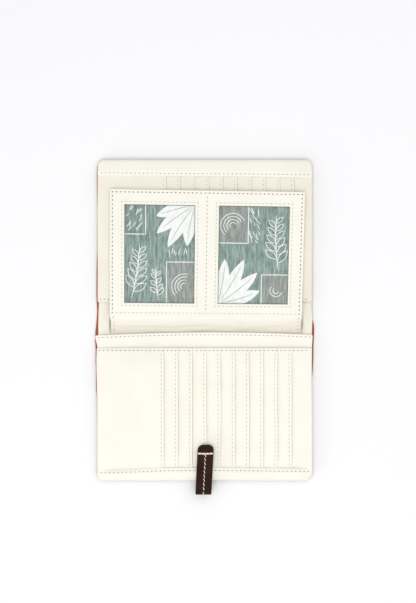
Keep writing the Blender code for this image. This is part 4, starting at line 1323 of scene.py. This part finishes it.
# Strap: two leather layers, each with its thickness, its middle off the strap's, and its inset
STRAP_TILT_TIP, STRAP_TILT_FOLD = 0.9 * MM, -1.15 * MM
STRAP_SIDE_INSET, STRAP_ROUNDING, STRAP_STEP = 0.35 * MM, 4.5 * MM, 0.9 * MM
STRAP_OUTER, STRAP_INNER, STRAP_INNER_INSET = 1.45 * MM, 0.7 * MM, 0.15 * MM
STRAP_MEETING, STRAP_TIP_BEND, STRAP_LOOP_BEND = 8 * MM, 2.6 * MM, 0.9
STRAP_SEAM_START, STRAP_SEAM_GAP = 9 * MM, 0.5 * MM
STRAP_STITCH = dict(pitch=3.45 * MM, slant=0.42, length=2.9 * MM, radius=0.34 * MM)
CROSS_STITCH_FROM_TIP, CROSS_STITCHES, CROSS_BOW = 7.1 * MM, 4, 0.3 * MM
CROSS_INSET, CROSS_STITCH_SHARE = 0.5 * MM, 1.15
CROSS_STITCH_RISE, CROSS_STITCH = 0.08 * MM, dict(radius=0.75 * MM, flat=0.32)


class StrapPath:
    """The strap's path in Y and Z: its sewn root, the loop's half circle and the run up to its tip."""

    def __init__(self):
        _, self.bend_y, self.bend_z = JOINT_AT["strap_lift"]
        low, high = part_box("strap_shank")
        self.thickness = high.z - low.z
        self.half_width = (high.x - low.x) / 2 - STRAP_SIDE_INSET
        self.tip_end, self.root_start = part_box("strap_tip")[1].y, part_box("strap_root")[1].y
        self.radius = high.z - self.thickness / 2 - self.bend_z
        self.root_run, self.arc_run = self.root_start - self.bend_y, math.pi * self.radius
        self.top_run = self.tip_end - self.bend_y
        self.total = self.root_run + self.arc_run + self.top_run

    def tilt(self, y):
        share = (y - (self.bend_y - self.radius)) / (self.tip_end - (self.bend_y - self.radius))
        return STRAP_TILT_FOLD + (STRAP_TILT_TIP - STRAP_TILT_FOLD) * share

    def place(self, x, s, height):
        """Points beside the strap's path. height is measured outward from the middle of its thickness."""
        turn = np.clip((s - self.root_run) / self.arc_run, 0, 1) * math.pi
        after = np.clip(s - self.root_run - self.arc_run, 0, self.top_run)
        reach, on_root = self.radius + height, s < self.root_run
        y = self.bend_y - reach * np.sin(turn) + after
        y = np.where(on_root, self.root_start - np.clip(s, 0, self.root_run), y)
        z = np.where(on_root, self.bend_z - self.radius - height, self.bend_z - reach * np.cos(turn))
        return np.stack([x + self.tilt(y), y, z], axis=-1)


def make_strap():
    """The dark strap, with pale thread down its middle and across its tip."""
    path = StrapPath()
    fold_y, rise = JOINT_AT["strap_tip_fold"][1], path.radius * STRAP_LOOP_BEND
    loop_bend = bending()
    tip_bend = bending()
    middle = path.total - (path.tip_end - fold_y) - STRAP_MEETING
    cross = path.total - CROSS_STITCH_FROM_TIP
    ripple = waves(81, 0.05 * MM, 18 * MM)

    def layer(name, thickness, offset, inset, loop_nodes, tip_node, loop_seams, tip_seams):
        def lift(x, y):
            return offset + ripple(x, y)

        side = path.half_width - inset
        shared = dict(step=STRAP_STEP, place=path.place)
        loop = Sheet(
            f"strap_loop_{name}", -side, side, 0, middle, thickness, lift, rolled="lrb", **shared,
            **loop_seams,
        )
        dress(loop, BROWN, loop_bend, *loop_nodes, slot="brown_leather")
        tip = Sheet(
            f"strap_tip_{name}", -side, side, middle, path.total - inset, thickness, lift,
            rolled="lrt", rounding=STRAP_ROUNDING, corners=(1,), **shared, **tip_seams,
        )
        dress(tip, BROWN, tip_bend, tip_node, slot="brown_leather")
        return loop, tip

    loop, tip = layer(
        "outer", STRAP_OUTER, path.thickness / 2 - STRAP_OUTER / 2, 0.0,
        ("strap_root", "strap_bend", "strap_shank"), "strap_tip",
        dict(seams_x=[0.0]), dict(seams_x=[0.0], seams_y=[cross]),
    )
    layer(
        "inner", STRAP_INNER, STRAP_INNER / 2 - path.thickness / 2, STRAP_INNER_INSET,
        (), "strap_tip_lining", {}, {},
    )
    apex = path.root_run + path.arc_run / 2
    parts = (("loop", 83), ("tip", 84), ("cross", 85))
    seams = [Seam(f"strap_{part}_seam", seed) for part, seed in parts]
    end = middle - STRAP_SEAM_GAP
    seams[0].sew(loop, (0, apex - STRAP_SEAM_START), (0, end), **STRAP_STITCH)
    seams[1].sew(tip, (0, end), (0, cross), first_hole=False, **STRAP_STITCH)
    step = (2 * path.half_width - 2 * CROSS_INSET) / CROSS_STITCHES
    middle_stitch = (CROSS_STITCHES - 1) / 2
    for index in range(CROSS_STITCHES):
        x = -path.half_width + CROSS_INSET + step * (index + 0.5)
        bow = CROSS_BOW * math.cos((index - middle_stitch) / middle_stitch)
        spot = np.array([x, cross - bow])
        place = seat(tip, spot, np.array([1.0, 0.0]), CROSS_STITCH_RISE)
        seams[2].stitch(place, length=step * CROSS_STITCH_SHARE, **CROSS_STITCH)
    for seam, bend in zip(seams, (loop_bend, tip_bend, tip_bend)):
        seam.build(bend, "brown_leather", STRAP_THREAD)


def make_magnets():
    """The hidden magnets keep their frame solids."""
    for name in ("tip_magnet", "cover_magnet"):
        materials = frame["nodes"][name].data.materials
        materials.clear()
        materials.append(STEEL)


# Floor, light and camera
FLOOR_REACH, FLOOR_DROP = 3.0, 0.2 * MM
FLOOR_TONE = (0.916, 0.915, 0.936, 1.0)
SURROUND_STRENGTH = 0.655
PANELS = (
    ("key_panel", (-0.06, -0.40, 1.32), (1.1, 0.9), 7.25, (1.0, 0.985, 0.96)),
    ("fill_panel", (0.6, 0.6, 1.1), (1.2, 1.2), 2.5, (0.96, 0.97, 1.0)),
    ("front_panel", (-1.2, -1.1, 0.55), (0.6, 0.6), 4.0, (1.0, 0.99, 0.97)),
)


def make_stage():
    """A plain pale floor."""
    mesh = bpy.data.meshes.new("floor")
    corners = [(x * FLOOR_REACH, y * FLOOR_REACH, 0) for x, y in ((-1, -1), (1, -1), (1, 1), (-1, 1))]
    mesh.from_pydata(corners, [], [(0, 1, 2, 3)])
    floor = new_object("floor", mesh)
    floor.location.z = -FLOOR_DROP
    mesh.materials.append(Shader("pale_floor").surface(Base_Color=FLOOR_TONE, Roughness=0.9))


def make_light():
    """A white surround and soft panels aimed at the origin."""
    world = bpy.data.worlds.new("soft_surround")
    world.use_nodes = True
    surround = world.node_tree.nodes["Background"].inputs
    surround["Color"].default_value = (1.0, 1.0, 1.0, 1.0)
    surround["Strength"].default_value = SURROUND_STRENGTH
    bpy.context.scene.world = world
    for name, place, size, power, colour in PANELS:
        light = bpy.data.lights.new(name, "AREA")
        light.shape = "RECTANGLE"
        light.size, light.size_y = size
        light.energy, light.color = power, colour
        holder = new_object(name, light)
        holder.location = place
        holder.rotation_euler = (-Vector(place)).to_track_quat("-Z", "Y").to_euler()
    bpy.context.scene.view_settings.view_transform = "Standard"


def make_camera():
    """Straight above, framed as the photograph is."""
    camera = bpy.data.cameras.new("camera")
    holder = new_object("camera", camera)
    x = (PHOTO_WIDTH / 2 - ORIGIN_PIXEL[0]) * PIXEL
    y = (ORIGIN_PIXEL[1] - PHOTO_HEIGHT / 2) * PIXEL
    holder.location = (x, y, CAMERA_HEIGHT)
    camera.lens = camera.sensor_width * (CAMERA_HEIGHT - LEVEL_AT_SCALE) / (PHOTO_HEIGHT * PIXEL)
    camera.clip_end = 10.0
    bpy.context.scene.camera = holder


make_camera()
make_light()
make_stage()
make_cover()
make_lining()
make_slip_pocket()
for side_half in (Half("lower", CREAM, RAW_EDGE_AND_SHADE, 101), Half("upper", UPPER_SHADED_CREAM, UPPER_SHADED_RAW_EDGE, 201)):
    make_inner_layers(side_half)
    make_card_pockets(side_half)
    make_band(side_half)
make_window_page()
make_page_hinge()
make_strap()
make_magnets()
